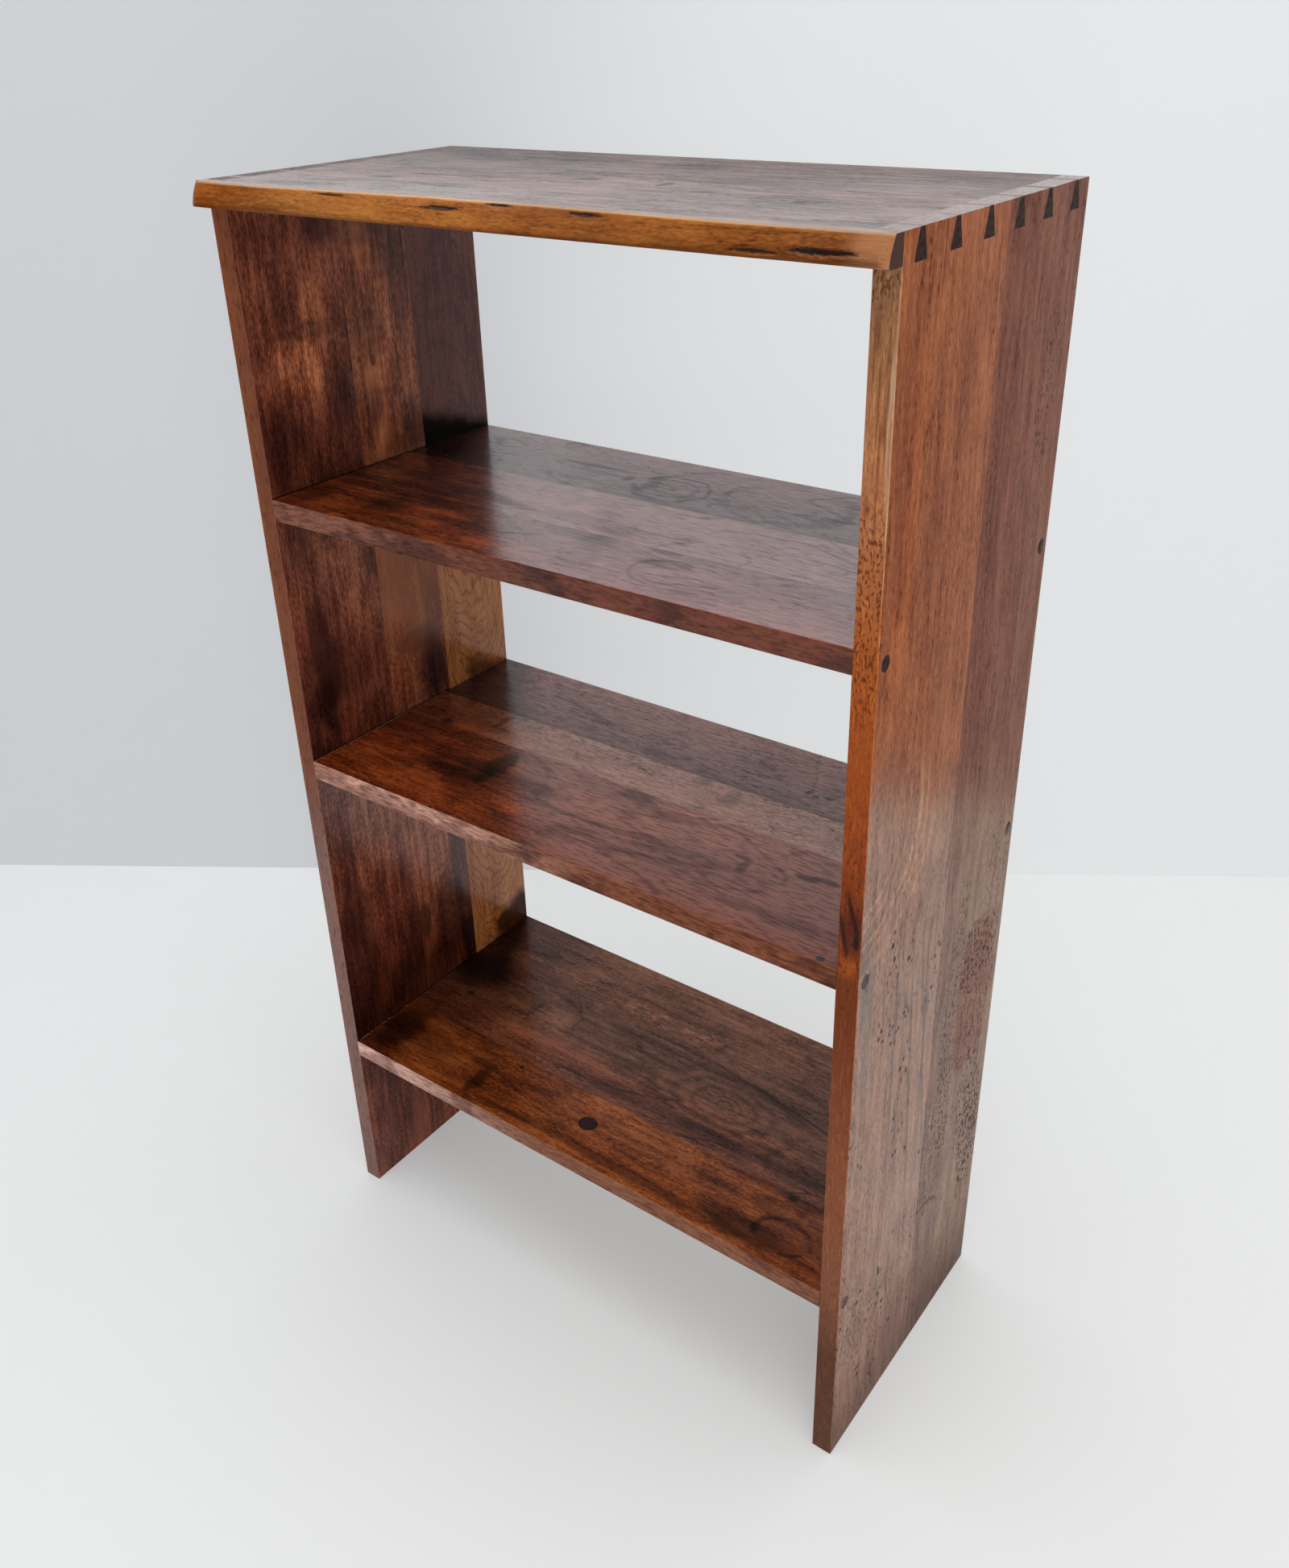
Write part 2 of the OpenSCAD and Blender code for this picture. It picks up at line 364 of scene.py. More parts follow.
def keep_inside(wood, deep, bright):
    """Marks show on the inner face only. The outer face is plain and more even in tone."""
    skin, core = 0.29, 0.294
    wood.face = wood.between(abs(wood.through), core, skin)
    wood.outer = wood.lay(deep, bright, wood.between(wood.tone + (wood.fray - wood.blotch) * 0.2, 0.0, 1.0))


def show_outside(wood):
    """Lays the plain outer face over the marks, once they are all in."""
    wood.stain(wood.outer, wood.between(abs(wood.through), outer - 0.0045, outer - 0.0015))


keep_inside(wood, (0.13, 0.03, 0.009), (0.36, 0.1, 0.03))
wood.patches((1.75, 1.95, 1.7), 0.6, 1.0,
        (0.988, -0.056, 0.026, 0.032, 0.6), (0.908, -0.086, 0.034, 0.026, 1.0),
        (0.922, -0.06, 0.046, 0.03, 1.0), (0.97, -0.105, 0.04, 0.014, 0.5), (0.7, -0.05, 0.06, 0.022, 0.6),
        (0.38, -0.075, 0.05, 0.03, 0.5), (0.572, -0.115, 0.016, 0.01, 0.8), (0.44, -0.052, 0.04, 0.03, 0.6),
        (0.24, -0.084, 0.02, 0.012, 0.5))
wood.patches((0.34, 0.3, 0.34), 0.7, 0.9,
        (1.022, -0.04, 0.016, 0.016, 0.9), (0.85, -0.11, 0.04, 0.022, 0.9), (0.876, -0.04, 0.03, 0.018, 0.7),
        (0.94, -0.06, 0.008, 0.04, 0.6), (0.975, -0.095, 0.026, 0.01, 0.5), (0.63, -0.076, 0.04, 0.03, 0.6),
        (0.645, -0.098, 0.06, 0.018, 1.0), (0.6, -0.105, 0.03, 0.016, 0.7), (0.76, -0.112, 0.03, 0.012, 0.5),
        (0.355, -0.108, 0.05, 0.014, 0.9), (0.3, -0.094, 0.06, 0.012, 0.7), (0.3, -0.026, 0.03, 0.014, 0.7),
        (0.23, -0.05, 0.03, 0.05, 0.6), (0.1, -0.08, 0.06, 0.04, 0.5))


def paint_bay_shade(wood, lower, middle, upper):
    """Inside, the corner over each shelf is darkened as painted shade, with a thin dark line along the joint.
    """
    for shelf, share, reach in (("lower", lower, 0.15), ("middle", middle, 0.12), ("upper", upper, 0.06)):
        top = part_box(shelf + "_shelf_front_board")[1].z
        near = wood.run(top + reach, top, 0.02) * wood.run(top - 0.012, top)
        wood.shade((0.4, 0.28, 0.24), near * wood.face * share)
        seam = wood.run(top + 0.0022, top + 0.0006) * wood.run(top - 0.001, top)
        wood.shade((0.12, 0.1, 0.1), seam * wood.face)


# Painted reflection: the upper part of the middle and lowest bays is tinted paler and bluer away from the
# front edge. Painted shade: their lower part is darkened towards the front.
for low, high, haze_reflection_tint in ((0.6, 0.788, (1.12, 1.42, 1.5)), (0.36, 0.528, (1.2, 1.65, 2.1))):
    painted_haze = wood.run(low, high, 0.03) * wood.cross(-0.15, -0.07)
    wood.shade(haze_reflection_tint, painted_haze * wood.run(high + 0.006, high) * wood.face)
for low, high in ((0.547, 0.72), (0.203, 0.47)):
    shaded = wood.cross(-0.08, -0.105, 0.006)
    shaded = shaded * wood.run(high, low, 0.02) * wood.run(low - 0.02, low)
    wood.shade((0.4, 0.42, 0.6), shaded * (1.0 - wood.edge) * wood.face)
paint_bay_shade(wood, 1.3, 0.5, 0.4)
show_outside(wood)
facing_front = wood.front_edge()
edge = wood.lay((0.235, 0.136, 0.112), (0.2, 0.062, 0.026), wood.run(0.56, 0.42))
wood.stain(edge, facing_front * 0.75)
specks = wood.between(wood.cloud(90.0, 420.0, 3.0), 0.52, 0.66)
wood.shade((0.55, 0.48, 0.48), facing_front * specks * 0.8)
fit(board, "left_side_walnut", wood.polish(0.9, 0.15))

board = bring_board("left_middle_board", side_arrises)
wood = Walnut("left middle walnut", True, 11.0, (0.02, 0.4), 0.005, (0.082, 0.016, 0.006),
              (0.225, 0.058, 0.022), (0.38, 0.128, 0.054), rings=0.06, mottle=0.45, ripple=0.45, grain=1.3)
keep_inside(wood, (0.095, 0.02, 0.01), (0.25, 0.062, 0.03))
wood.patches((0.24, 0.2, 0.24), 0.7, 0.8,
        (0.965, 0.046, 0.05, 0.013, 0.7), (1.02, 0.01, 0.02, 0.03, 0.5), (0.93, 0.004, 0.024, 0.016, 0.6),
        (0.901, 0.005, 0.005, 0.003, 0.9), (0.835, 0.048, 0.026, 0.014, 0.8), (0.86, 0.0, 0.02, 0.01, 0.5),
        (0.583, 0.04, 0.036, 0.02, 1.0), (0.62, 0.022, 0.012, 0.026, 0.7), (0.34, 0.046, 0.1, 0.014, 0.8),
        (0.295, -0.014, 0.026, 0.009, 0.9), (0.225, 0.0, 0.03, 0.02, 0.6), (0.232, 0.052, 0.04, 0.012, 1.0),
        (0.27, 0.024, 0.05, 0.022, 0.7), (1.0, 0.03, 0.03, 0.02, 0.6))
wood.shade((1.75, 1.9, 1.75), wood.spot(0.72, 0.014, 0.09, 0.04, 0.5, 0.8))
calm = wood.lay((0.135, 0.04, 0.014), (0.34, 0.118, 0.044), wood.between(wood.fleck + wood.grain, 1.3, 0.8))
wood.stain(calm, wood.spot(0.715, 0.02, 0.1, 0.05, 0.3, 0.8) * 0.6)
wood.shade((1.3, 1.35, 1.3), wood.spot(0.89, 0.02, 0.06, 0.03, 0.5, 1.0))
crest = wood.spot(0.87, 0.01, 0.06, 0.014, 0.5, 1.0) + wood.spot(1.0, 0.012, 0.03, 0.018, 0.6, 1.0) * 0.8
wood.shade((1.7, 1.75, 1.6), crest * wood.between(wood.fleck, 0.42, 0.56))
paint_bay_shade(wood, 1.5, 0.4, 0.1)
show_outside(wood)
fit(board, "left_side_walnut", wood.polish(0.9))

board = bring_board("left_rear_board", side_arrises)
wood = Walnut("left rear walnut", True, 19.0, (0.105, 0.345), 0.0068, (0.2, 0.052, 0.011),
              (0.35, 0.118, 0.026), (0.46, 0.18, 0.055), rings=0.1, mottle=0.25, lean=0.16, grain=0.9)
keep_inside(wood, (0.075, 0.017, 0.01), (0.21, 0.054, 0.03))
wood.arches(0.104, 34.0, 0.015, (0.52, 0.42, 0.36), 0.7)
plum = wood.lay((0.056, 0.012, 0.009), (0.125, 0.034, 0.024), wood.between(wood.tone, 0.32, 0.74))
wood.stain(plum, wood.run(0.79, 0.82, 0.01))
wood.marks((0.14, 0.1, 0.11), 0.6, 0.9,
        (0.208, 0.134, 0.03, 0.034, 1.4), (0.455, 0.105, 0.04, 0.045, 0.5),
        (0.06, 0.11, 0.06, 0.03, 0.5), dull=0.6)
wedge = wood.between(wood.along + (wood.across - 0.085) * 0.34 + wood.fray * 0.008, 0.582, 0.562)
wedge = wedge * wood.cross(0.074, 0.1, 0.004) * wood.run(0.54, 0.545)
wood.smudge(wedge * wood.face, (0.3, 0.24, 0.24))
wood.shade((0.2, 0.17, 0.2), wood.spot(0.69, 0.086, 0.003, 0.003, 0.3, 0.4))
# Painted shade: a near-black wedge in the corner just over the upper shelf, with its polish dimmed.
corner = wood.between(wood.along + wood.across * 0.3 + wood.fray * 0.01, 0.87, 0.85)
corner = corner * wood.run(0.79, 0.8) * wood.face
wood.stain((0.005, 0.002, 0.002), corner)
wood.dim(corner * 0.9)
show_outside(wood)
fit(board, "left_side_pale_walnut", wood.polish(0.9))

# Right side: made the same way, from redder wood. The front board is warm and orange, with nested
# rings low down and a paler sapwood arris at the top. The plum boards behind it are pitted with
# worm and pecking, and keep a patch of rough, undressed wood.
board = bring_board("right_front_board", side_arrises)
wood = Walnut("right front walnut", True, 31.0, (-0.085, -0.2745), 0.006, (0.205, 0.046, 0.009),
              (0.34, 0.092, 0.024), (0.46, 0.145, 0.045), rings=0.04, mottle=0.2, pores=0.9, grain=1.15)


def keep_outside_painted_reflection(wood, floor_reflection_tint):
    """Marks show on the outer face only, and its lower part is tinted greyer as a painted reflection of the
    pale floor.
    """
    wood.face = wood.between(abs(wood.through), outer - 0.0035, outer - 0.001)
    low = wood.between(wood.along + wood.across * 0.45 + wood.fray * 0.025, 0.69, 0.6) * wood.face
    wood.shade(floor_reflection_tint, low)
    return low


low = keep_outside_painted_reflection(wood, (0.78, 1.13, 1.76))
wood.figure(2.5, 12.0, 12.0, (0.7, 0.64, 0.64), 0.8)
for reach, share in ((0.045, 0.6), (0.06, 0.9), (0.072, 0.6), (0.088, 1.0), (0.1, 0.6), (0.116, 0.5)):
    away = wood.far(0.66, -0.134, reach, reach, 0.05)
    bow = wood.between(abs(away - 1.0), 0.035, 0.01) * wood.run(0.71, 0.64) * wood.face
    wood.shade((1.6, 1.62, 1.62), bow * share)
for y, lean in ((-0.062, 0.02), (-0.036, 0.08), (-0.018, 0.14), (-0.008, 0.05)):
    slant = abs(wood.across - y + (wood.along - 0.5) * lean + wood.fray * 0.0025)
    line = wood.between(slant, 0.003, 0.0006) * wood.run(0.2, 0.3) * wood.run(0.55, 0.48)
    wood.shade((0.46, 0.42, 0.44), line * wood.face * 0.9)
wood.patches((1.25, 1.15, 0.95), 0.7, 1.0,
        (0.83, -0.104, 0.07, 0.014, 0.8), (0.93, -0.098, 0.05, 0.012, 0.6), (0.78, -0.06, 0.06, 0.01, 0.5),
        (0.585, -0.05, 0.05, 0.014, 0.5))
wood.patches((0.66, 0.56, 0.56), 0.7, 1.0,
        (0.96, -0.11, 0.07, 0.016, 0.6), (0.87, -0.108, 0.04, 0.014, 0.6), (0.86, -0.06, 0.06, 0.016, 0.6),
        (0.96, -0.03, 0.06, 0.014, 0.6), (0.7, -0.1, 0.03, 0.02, 0.5), (0.75, -0.04, 0.05, 0.018, 0.4))
cool = wood.spot(0.542, -0.118, 0.04, 0.01, 0.6, 1.0) + wood.spot(0.47, -0.112, 0.06, 0.01, 0.6, 1.0) * 0.6
wood.shade((0.5, 0.66, 0.86), cool * 0.8)
# Painted reflection: bluer still in the front part of the grey lower zone.
wood.shade((1.06, 1.12, 1.28), low * wood.run(0.3, 0.4) * wood.cross(-0.07, -0.12))
wood.shade((0.8, 0.66, 0.6), wood.spot(0.075, -0.022, 0.045, 0.03, 0.5, 0.8))
pits = wood.dots(70.0, 90.0, 0.12) * wood.run(0.6, 0.5) * wood.between(wood.blotch, 0.46, 0.56)
for up, y, tall, wide in (
        (0.544, -0.076, 0.0026, 0.002), (0.529, -0.072, 0.0022, 0.0018), (0.556, -0.075, 0.0018, 0.0013),
        (0.512, -0.082, 0.002, 0.0012), (0.407, -0.04, 0.0026, 0.0018), (0.4, -0.045, 0.0024, 0.002),
        (0.41, -0.03, 0.0018, 0.0012), (0.385, -0.041, 0.0018, 0.0012), (0.293, -0.022, 0.002, 0.0018),
        (0.122, -0.045, 0.0024, 0.002), (0.078, -0.026, 0.0026, 0.0022), (0.2, -0.033, 0.0022, 0.0013),
        (0.198, -0.01, 0.0024, 0.0013), (0.262, 0.01, 0.003, 0.0014)):
    pits = pits + wood.spot(up, y, tall, wide, 0.5, 0.6)
wood.pit(pits)


def paint_foot_shade(wood):
    """The last few inches are painted darker and their polish is dimmed: painted shade near the floor."""
    wood.shade((0.55, 0.46, 0.4), wood.run(0.12, 0.0, 0.012))
    wood.dim(wood.run(0.17, 0.0) * 0.55)


paint_foot_shade(wood)
tans = [(0.0, (0.105, 0.041, 0.022)), (1.0, (0.235, 0.118, 0.056)), (0.11, (0.092, 0.031, 0.012)),
        (0.2, (0.192, 0.065, 0.031)), (0.33, (0.21, 0.06, 0.022)), (0.47, (0.142, 0.028, 0.004)),
        (0.56, (0.16, 0.027, 0.002)), (0.64, (0.27, 0.05, 0.005)), (0.75, (0.32, 0.076, 0.012)),
        (0.85, (0.4, 0.15, 0.06)), (0.94, (0.31, 0.134, 0.06))]
tan = wood.node("ValToRGB", {"stops": tans}, {0: wood.along / height + wood.fray * 0.02})
facing_front = wood.front_edge()
wood.stain(tan, facing_front)
flecks = wood.between(wood.cloud(240.0, 620.0, 3.0), 0.52, 0.6)
lace = 0.3 + wood.between(abs(wood.along - 0.83), 0.09, 0.05) * 0.6 + wood.run(1.01, 1.04) * 0.6
wood.shade((0.34, 0.26, 0.22), facing_front * flecks * lace)
long_flecks = wood.between(wood.cloud(22.0, 420.0, 3.0), 0.5, 0.64)
wood.shade((0.62, 0.56, 0.54), facing_front * long_flecks * wood.run(0.78, 0.92))
bright = wood.between(wood.cloud(60.0, 500.0, 3.0), 0.52, 0.66)
wood.shade((1.35, 1.45, 1.4), facing_front * bright)
wide = 0.0007 + wood.between(abs(wood.along - 0.952), 0.075, 0.015) * 0.0034
outside = wood.between((wood.through + outer + wood.fray * 0.0012) / wide, 1.15, 0.75)
rubbed = 0.35 + wood.between(wood.cloud(24.0, 900.0, 2.0), 0.4, 0.6) * 0.65
rubbed = outside * wood.run(0.82, 0.9) * rubbed
wood.stain((0.46, 0.3, 0.185), facing_front * rubbed * 0.85)


def round_mark(up, x, tall, wide, ragged, low, high):
    """A round mark on the narrow front, at one height and one distance from the middle."""
    away = ((wood.along - up) / tall) ** 2.0 + ((wood.through + x) / wide) ** 2.0
    return facing_front * wood.between(away ** 0.5 + wood.fray * ragged, low, high)


wood.shade((0.6, 0.54, 0.5), round_mark(0.588, 0.2945, 0.028, 0.009, 0.7, 1.3, 0.5))
for up, x, lean in ((0.6, 0.2955, 3.7), (0.58, 0.2888, 4.8)):
    line = abs(wood.along - up - (wood.through + x) * lean + wood.fray * 0.004)
    line = wood.between(line, 0.013, 0.002)
    line = line * wood.between(abs(wood.along - up) + wood.fray * 0.008, 0.03, 0.012)
    wood.shade((0.3, 0.24, 0.26), facing_front * line * wood.between(abs(wood.through + x), 0.007, 0.004))
wood.stain((0.012, 0.006, 0.004), round_mark(0.577, 0.299, 0.006, 0.0022, 0.4, 1.2, 0.7))
wood.shade((1.7, 1.9, 2.0), round_mark(0.554, 0.293, 0.012, 0.008, 0.5, 1.3, 0.5))
specks = wood.between(wood.cloud(130.0, 420.0, 2.0), 0.58, 0.66)
specks = specks * wood.between(abs(wood.along - 0.6), 0.12, 0.06)
wood.shade((0.3, 0.22, 0.22), facing_front * specks * 0.8)
finish = wood.polish(0.74, 0.16, end=(0.085, 0.046, 0.036), end_coat=1.25)
fit(board, "right_side_red_walnut", finish)


def pecked(wood, up, y, tall, wide, size, share):
    """A patch crowded with pits, small ones and a few large, dark and sunk."""
    where = wood.spot(up, y, tall, wide, 0.5, 0.4)
    holes = (wood.dots(230.0, 330.0, size) * 0.7 + wood.dots(110.0, 150.0, size * 0.8)) * where
    wood.pit(holes * share, (0.055, 0.02, 0.012))


board = bring_board("right_middle_board", side_arrises)
wood = Walnut("right middle walnut", True, 37.0, (0.05, -0.2), 0.005, (0.128, 0.028, 0.011),
              (0.215, 0.06, 0.028), (0.29, 0.096, 0.05), rings=0.04, mottle=0.26, pores=0.8)
keep_outside_painted_reflection(wood, (0.92, 1.3, 1.25))
wood.figure(2.0, 10.0, 10.0, (0.7, 0.64, 0.64), 0.7)
arc = wood.far(0.15, 0.022, 0.026, 0.042, 0.16)
arc = wood.between(abs(arc - 1.0), 0.1, 0.03) * wood.run(0.15, 0.165)
wood.smudge(arc * 0.8)
pecked(wood, 0.36, 0.056, 0.16, 0.022, 0.26, 0.8)
pecked(wood, 0.24, 0.04, 0.1, 0.026, 0.2, 0.8)
pecked(wood, 0.87, 0.025, 0.05, 0.01, 0.22, 0.6)
paint_foot_shade(wood)
plum_ends = {"end": (0.085, 0.046, 0.036), "end_coat": 1.9}
fit(board, "right_side_plum_walnut", wood.polish(0.5, 0.2, **plum_ends))

board = bring_board("right_rear_board", side_arrises)
wood = Walnut("right rear walnut", True, 43.0, (0.12, -0.22), 0.005, (0.13, 0.031, 0.013),
              (0.22, 0.066, 0.032), (0.3, 0.104, 0.056), rings=0.04, mottle=0.26, pores=0.8)
low = keep_outside_painted_reflection(wood, (0.96, 1.3, 1.2))
rough = wood.spot(0.382, 0.098, 0.08, 0.046, 0.3, 0.25)
wood.shade((1.12, 0.84, 0.76), rough * (0.9 + wood.fray * 0.3))
# Painted reflection: outside the rough patch the grey lower zone is tinted a little brighter and greener.
wood.shade((1.08, 1.16, 1.13), low * (1.0 - rough))
wood.sink(rough, 1.2)
pecked(wood, 0.43, 0.096, 0.036, 0.046, 0.4, 0.8)
pecked(wood, 0.37, 0.104, 0.07, 0.04, 0.32, 0.7)
lip = wood.spot(0.385, 0.056, 0.062, 0.007, 0.5, 0.5)
wood.pit(lip * (0.45 + wood.dots(200.0, 260.0, 0.5) * 0.55), (0.055, 0.02, 0.012))
pecked(wood, 0.19, 0.126, 0.085, 0.02, 0.38, 1.0)
pecked(wood, 0.25, 0.108, 0.06, 0.026, 0.26, 0.9)
pecked(wood, 0.52, 0.125, 0.05, 0.022, 0.22, 0.6)
pecked(wood, 0.93, 0.115, 0.06, 0.02, 0.24, 0.6)
paint_foot_shade(wood)
wood.dim(rough * 0.3)
fit(board, "right_side_plum_walnut", wood.polish(0.5, 0.2, **plum_ends))

# Three shelves, each glued up from red-brown walnut boards and let into stopped housings in the
# sides. Two boards make the lowest shelf and three the others. They are flush front and back, and
# their front arrises are worn a little pale.
shelf_arrises = []
for level in ("lower", "middle", "upper"):
    below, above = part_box(level + "_shelf_front_board")
    shelf_arrises += [((1, y), (2, z)) for y in (front, back) for z in (below.z, above.z)]


def shelf_front(wood, pale, brown, turn):
    """The shelf's narrow front: paler to the left and browner to the right."""
    facing_front = wood.front_edge()
    tone = wood.lay(brown, pale, wood.run(turn - 0.14, turn + 0.14, 0.05))
    wood.stain(tone, facing_front * 0.85)
    wood.shade((0.66, 0.6, 0.6), facing_front * wood.between(wood.cloud(110.0, 500.0, 3.0), 0.5, 0.64))
    wood.shade((0.6, 0.52, 0.52), facing_front * wood.between(wood.blotch + wood.fray * 0.3, 0.5, 0.62))


board = bring_board("upper_shelf_front_board", shelf_arrises)
wood = Walnut("upper shelf front walnut", False, 51.0, (-0.09, 0.45), 0.006, (0.066, 0.01, 0.0015),
              (0.19, 0.027, 0.003), (0.34, 0.068, 0.008), rings=0.05, mottle=0.8, pores=0.8, grain=1.5)


def veiled(wood, start, tint, share):
    """The window's pale reflection, brightest where it starts, with the wood hazy beneath."""
    inward = wood.along + wood.across * 0.92 + wood.fray * 0.02
    veil = wood.between(inward, start, start + 0.1) * (1.0 - wood.edge) * (1.0 - wood.end_grain)
    wood.stain(tint, veil * share)
    wood.shine = wood.shine + (1.0 - wood.shine) * wood.between(inward, start - 0.07, start) * 0.65
    evened = 1.0 + wood.between(inward, 0.0, -0.12) * 0.25 - wood.between(inward, -0.1, -0.2) * 0.5
    wood.shine = wood.shine * evened
    return veil


def dusty(wood):
    """Pale dust lies where the shelf meets the left side."""
    dust = wood.run(0.00155 - inner, 0.00075 - inner) * wood.between(wood.grain + wood.blotch, 0.9, 1.1)
    wood.stain((0.34, 0.22, 0.17), dust * 0.8)


veiled(wood, -0.17, (0.3, 0.076, 0.076), 0.76)
wood.figure(4.0, 9.0, 8.0, (0.6, 0.54, 0.58), 0.8, 1.2)
wood.patches((1.45, 1.4, 1.38), 0.9, 1.0,
        (-0.07, -0.105, 0.05, 0.016, 0.5), (0.04, -0.03, 0.06, 0.016, 0.5), (0.12, -0.085, 0.03, 0.016, 0.4),
        (-0.14, -0.08, 0.03, 0.022, 0.5))
for x, y, long, wide, thick, dark in (
        (0.128, -0.085, 0.054, 0.03, 0.07, 0.5), (0.12, -0.086, 0.044, 0.02, 0.1, 0.4),
        (0.236, -0.09, 0.021, 0.019, 0.12, 0.7), (0.018, -0.062, 0.022, 0.016, 0.2, 0.5),
        (0.15, -0.056, 0.08, 0.014, 0.1, 0.5)):
    wood.smudge(wood.loop(x, y, long, wide, thick, 0.3) * dark, (0.46, 0.42, 0.46))
crescent = wood.between(abs(wood.far(0.12, -0.085, 0.046, 0.03, 0.2) - 1.0), 0.07, 0.02)
wood.smudge(crescent * wood.run(0.096, 0.082, 0.01) * 0.4, (0.38, 0.35, 0.4))
wood.marks((0.34, 0.31, 0.36), 0.9, 0.9,
        (0.018, -0.06, 0.02, 0.014, 0.5), (-0.006, -0.052, 0.034, 0.012, 0.5),
        (0.08, -0.05, 0.014, 0.003, 0.9), (-0.19, -0.085, 0.022, 0.024, 0.8),
        (-0.205, -0.052, 0.06, 0.008, 0.7), (-0.268, -0.1, 0.018, 0.03, 0.9),
        (-0.14, -0.058, 0.03, 0.006, 0.5), (0.03, -0.1, 0.014, 0.022, 0.4))
shelf_front(wood, (0.245, 0.098, 0.061), (0.13, 0.033, 0.015), -0.12)
wood.fibres(0.7)
fit(board, "shelf_walnut", wood.polish(0.95, 0.15, index=2.65))

board = bring_board("upper_shelf_middle_board", shelf_arrises)
wood = Walnut("upper shelf middle walnut", False, 57.0, (0.0, 0.5), 0.006, (0.078, 0.012, 0.002),
              (0.2, 0.033, 0.004), (0.33, 0.07, 0.009), rings=0.05, mottle=0.75, pores=0.8, grain=1.4)
veiled(wood, -0.18, (0.48, 0.12, 0.108), 0.76)
wood.figure(3.5, 8.0, 8.0, (0.6, 0.54, 0.58), 0.8, 1.2)
vein = abs(wood.across + 0.043 + (wood.along + 0.075) * 0.95 + wood.fray * 0.012)
reach = wood.between(abs(wood.along + 0.03), 0.06, 0.03)
wood.smudge(wood.between(vein, 0.012, 0.002) * reach * 0.5)
wood.marks((0.34, 0.31, 0.36), 0.9, 0.9,
        (-0.01, -0.026, 0.04, 0.014, 0.4), (0.02, -0.036, 0.014, 0.014, 0.4),
        (-0.245, -0.036, 0.1, 0.006, 0.8), (-0.2, 0.026, 0.04, 0.01, 0.5), (-0.245, 0.0, 0.03, 0.014, 0.5))
for x, y, long, wide in ((0.105, -0.052, 0.04, 0.036), (0.185, -0.015, 0.034, 0.01)):
    wood.smudge(wood.loop(x, y, long, wide, 0.1, 0.4) * 0.5, (0.46, 0.42, 0.46))
wood.shade((1.4, 1.3, 1.3), wood.spot(-0.06, 0.0, 0.05, 0.014, 0.9, 1.0) * 0.6)
glue = wood.cross(0.0372, 0.038) * wood.between(abs(wood.along + 0.16), 0.05, 0.04)
wood.stain((0.34, 0.19, 0.15), glue * 0.7)
wood.fibres(0.7)
fit(board, "shelf_walnut", wood.polish(0.96, index=3.2))

board = bring_board("upper_shelf_rear_board", shelf_arrises)
wood = Walnut("upper shelf rear walnut", False, 63.0, (0.1, 0.6), 0.006, (0.03, 0.005, 0.004),
              (0.075, 0.013, 0.009), (0.13, 0.029, 0.02), rings=0.05, mottle=0.7, pores=0.8, grain=1.4)
veiled(wood, -0.17, (0.185, 0.048, 0.056), 0.76)
wood.figure(3.5, 9.0, 8.0, (0.58, 0.52, 0.56), 0.8, 1.2)
wood.shade((0.35, 0.3, 0.3), wood.between(wood.along + wood.across + wood.fray * 0.02, -0.1, -0.18))
for x, y, long, wide, dark in (
        (-0.008, 0.078, 0.038, 0.03, 0.9), (-0.014, 0.078, 0.03, 0.022, 0.7),
        (-0.004, 0.076, 0.018, 0.012, 0.6), (0.1, 0.092, 0.062, 0.04, 0.5), (0.15, 0.116, 0.04, 0.012, 0.5),
        (-0.18, 0.08, 0.022, 0.02, 0.4)):
    wood.smudge(wood.loop(x, y, long, wide, 0.12, 0.3) * dark, (0.44, 0.4, 0.46))
wood.marks((0.32, 0.29, 0.34), 0.9, 0.8,
        (-0.105, 0.098, 0.036, 0.004, 0.9), (-0.057, 0.083, 0.004, 0.006, 0.9),
        (-0.03, 0.078, 0.008, 0.02, 0.7), (-0.09, 0.084, 0.04, 0.004, 0.5), (0.01, 0.044, 0.05, 0.004, 0.5),
        (0.18, 0.12, 0.05, 0.006, 0.5))
glue = wood.cross(0.04, 0.0393) * wood.run(-0.1, -0.16)
wood.stain((0.24, 0.13, 0.1), glue * wood.between(wood.fleck, 0.4, 0.55) * 0.7)
wood.fibres(0.7)
fit(board, "shelf_dark_walnut", wood.polish(0.93, index=2.25))

board = bring_board("middle_shelf_front_board", shelf_arrises)
wood = Walnut("middle shelf front walnut", False, 71.0, (-0.06, 0.2), 0.007, (0.078, 0.011, 0.002),
              (0.195, 0.031, 0.005), (0.33, 0.066, 0.012), rings=0.05, mottle=0.6, pores=0.9, grain=1.5)
veil = veiled(wood, -0.18, (0.27, 0.08, 0.048), 0.74)
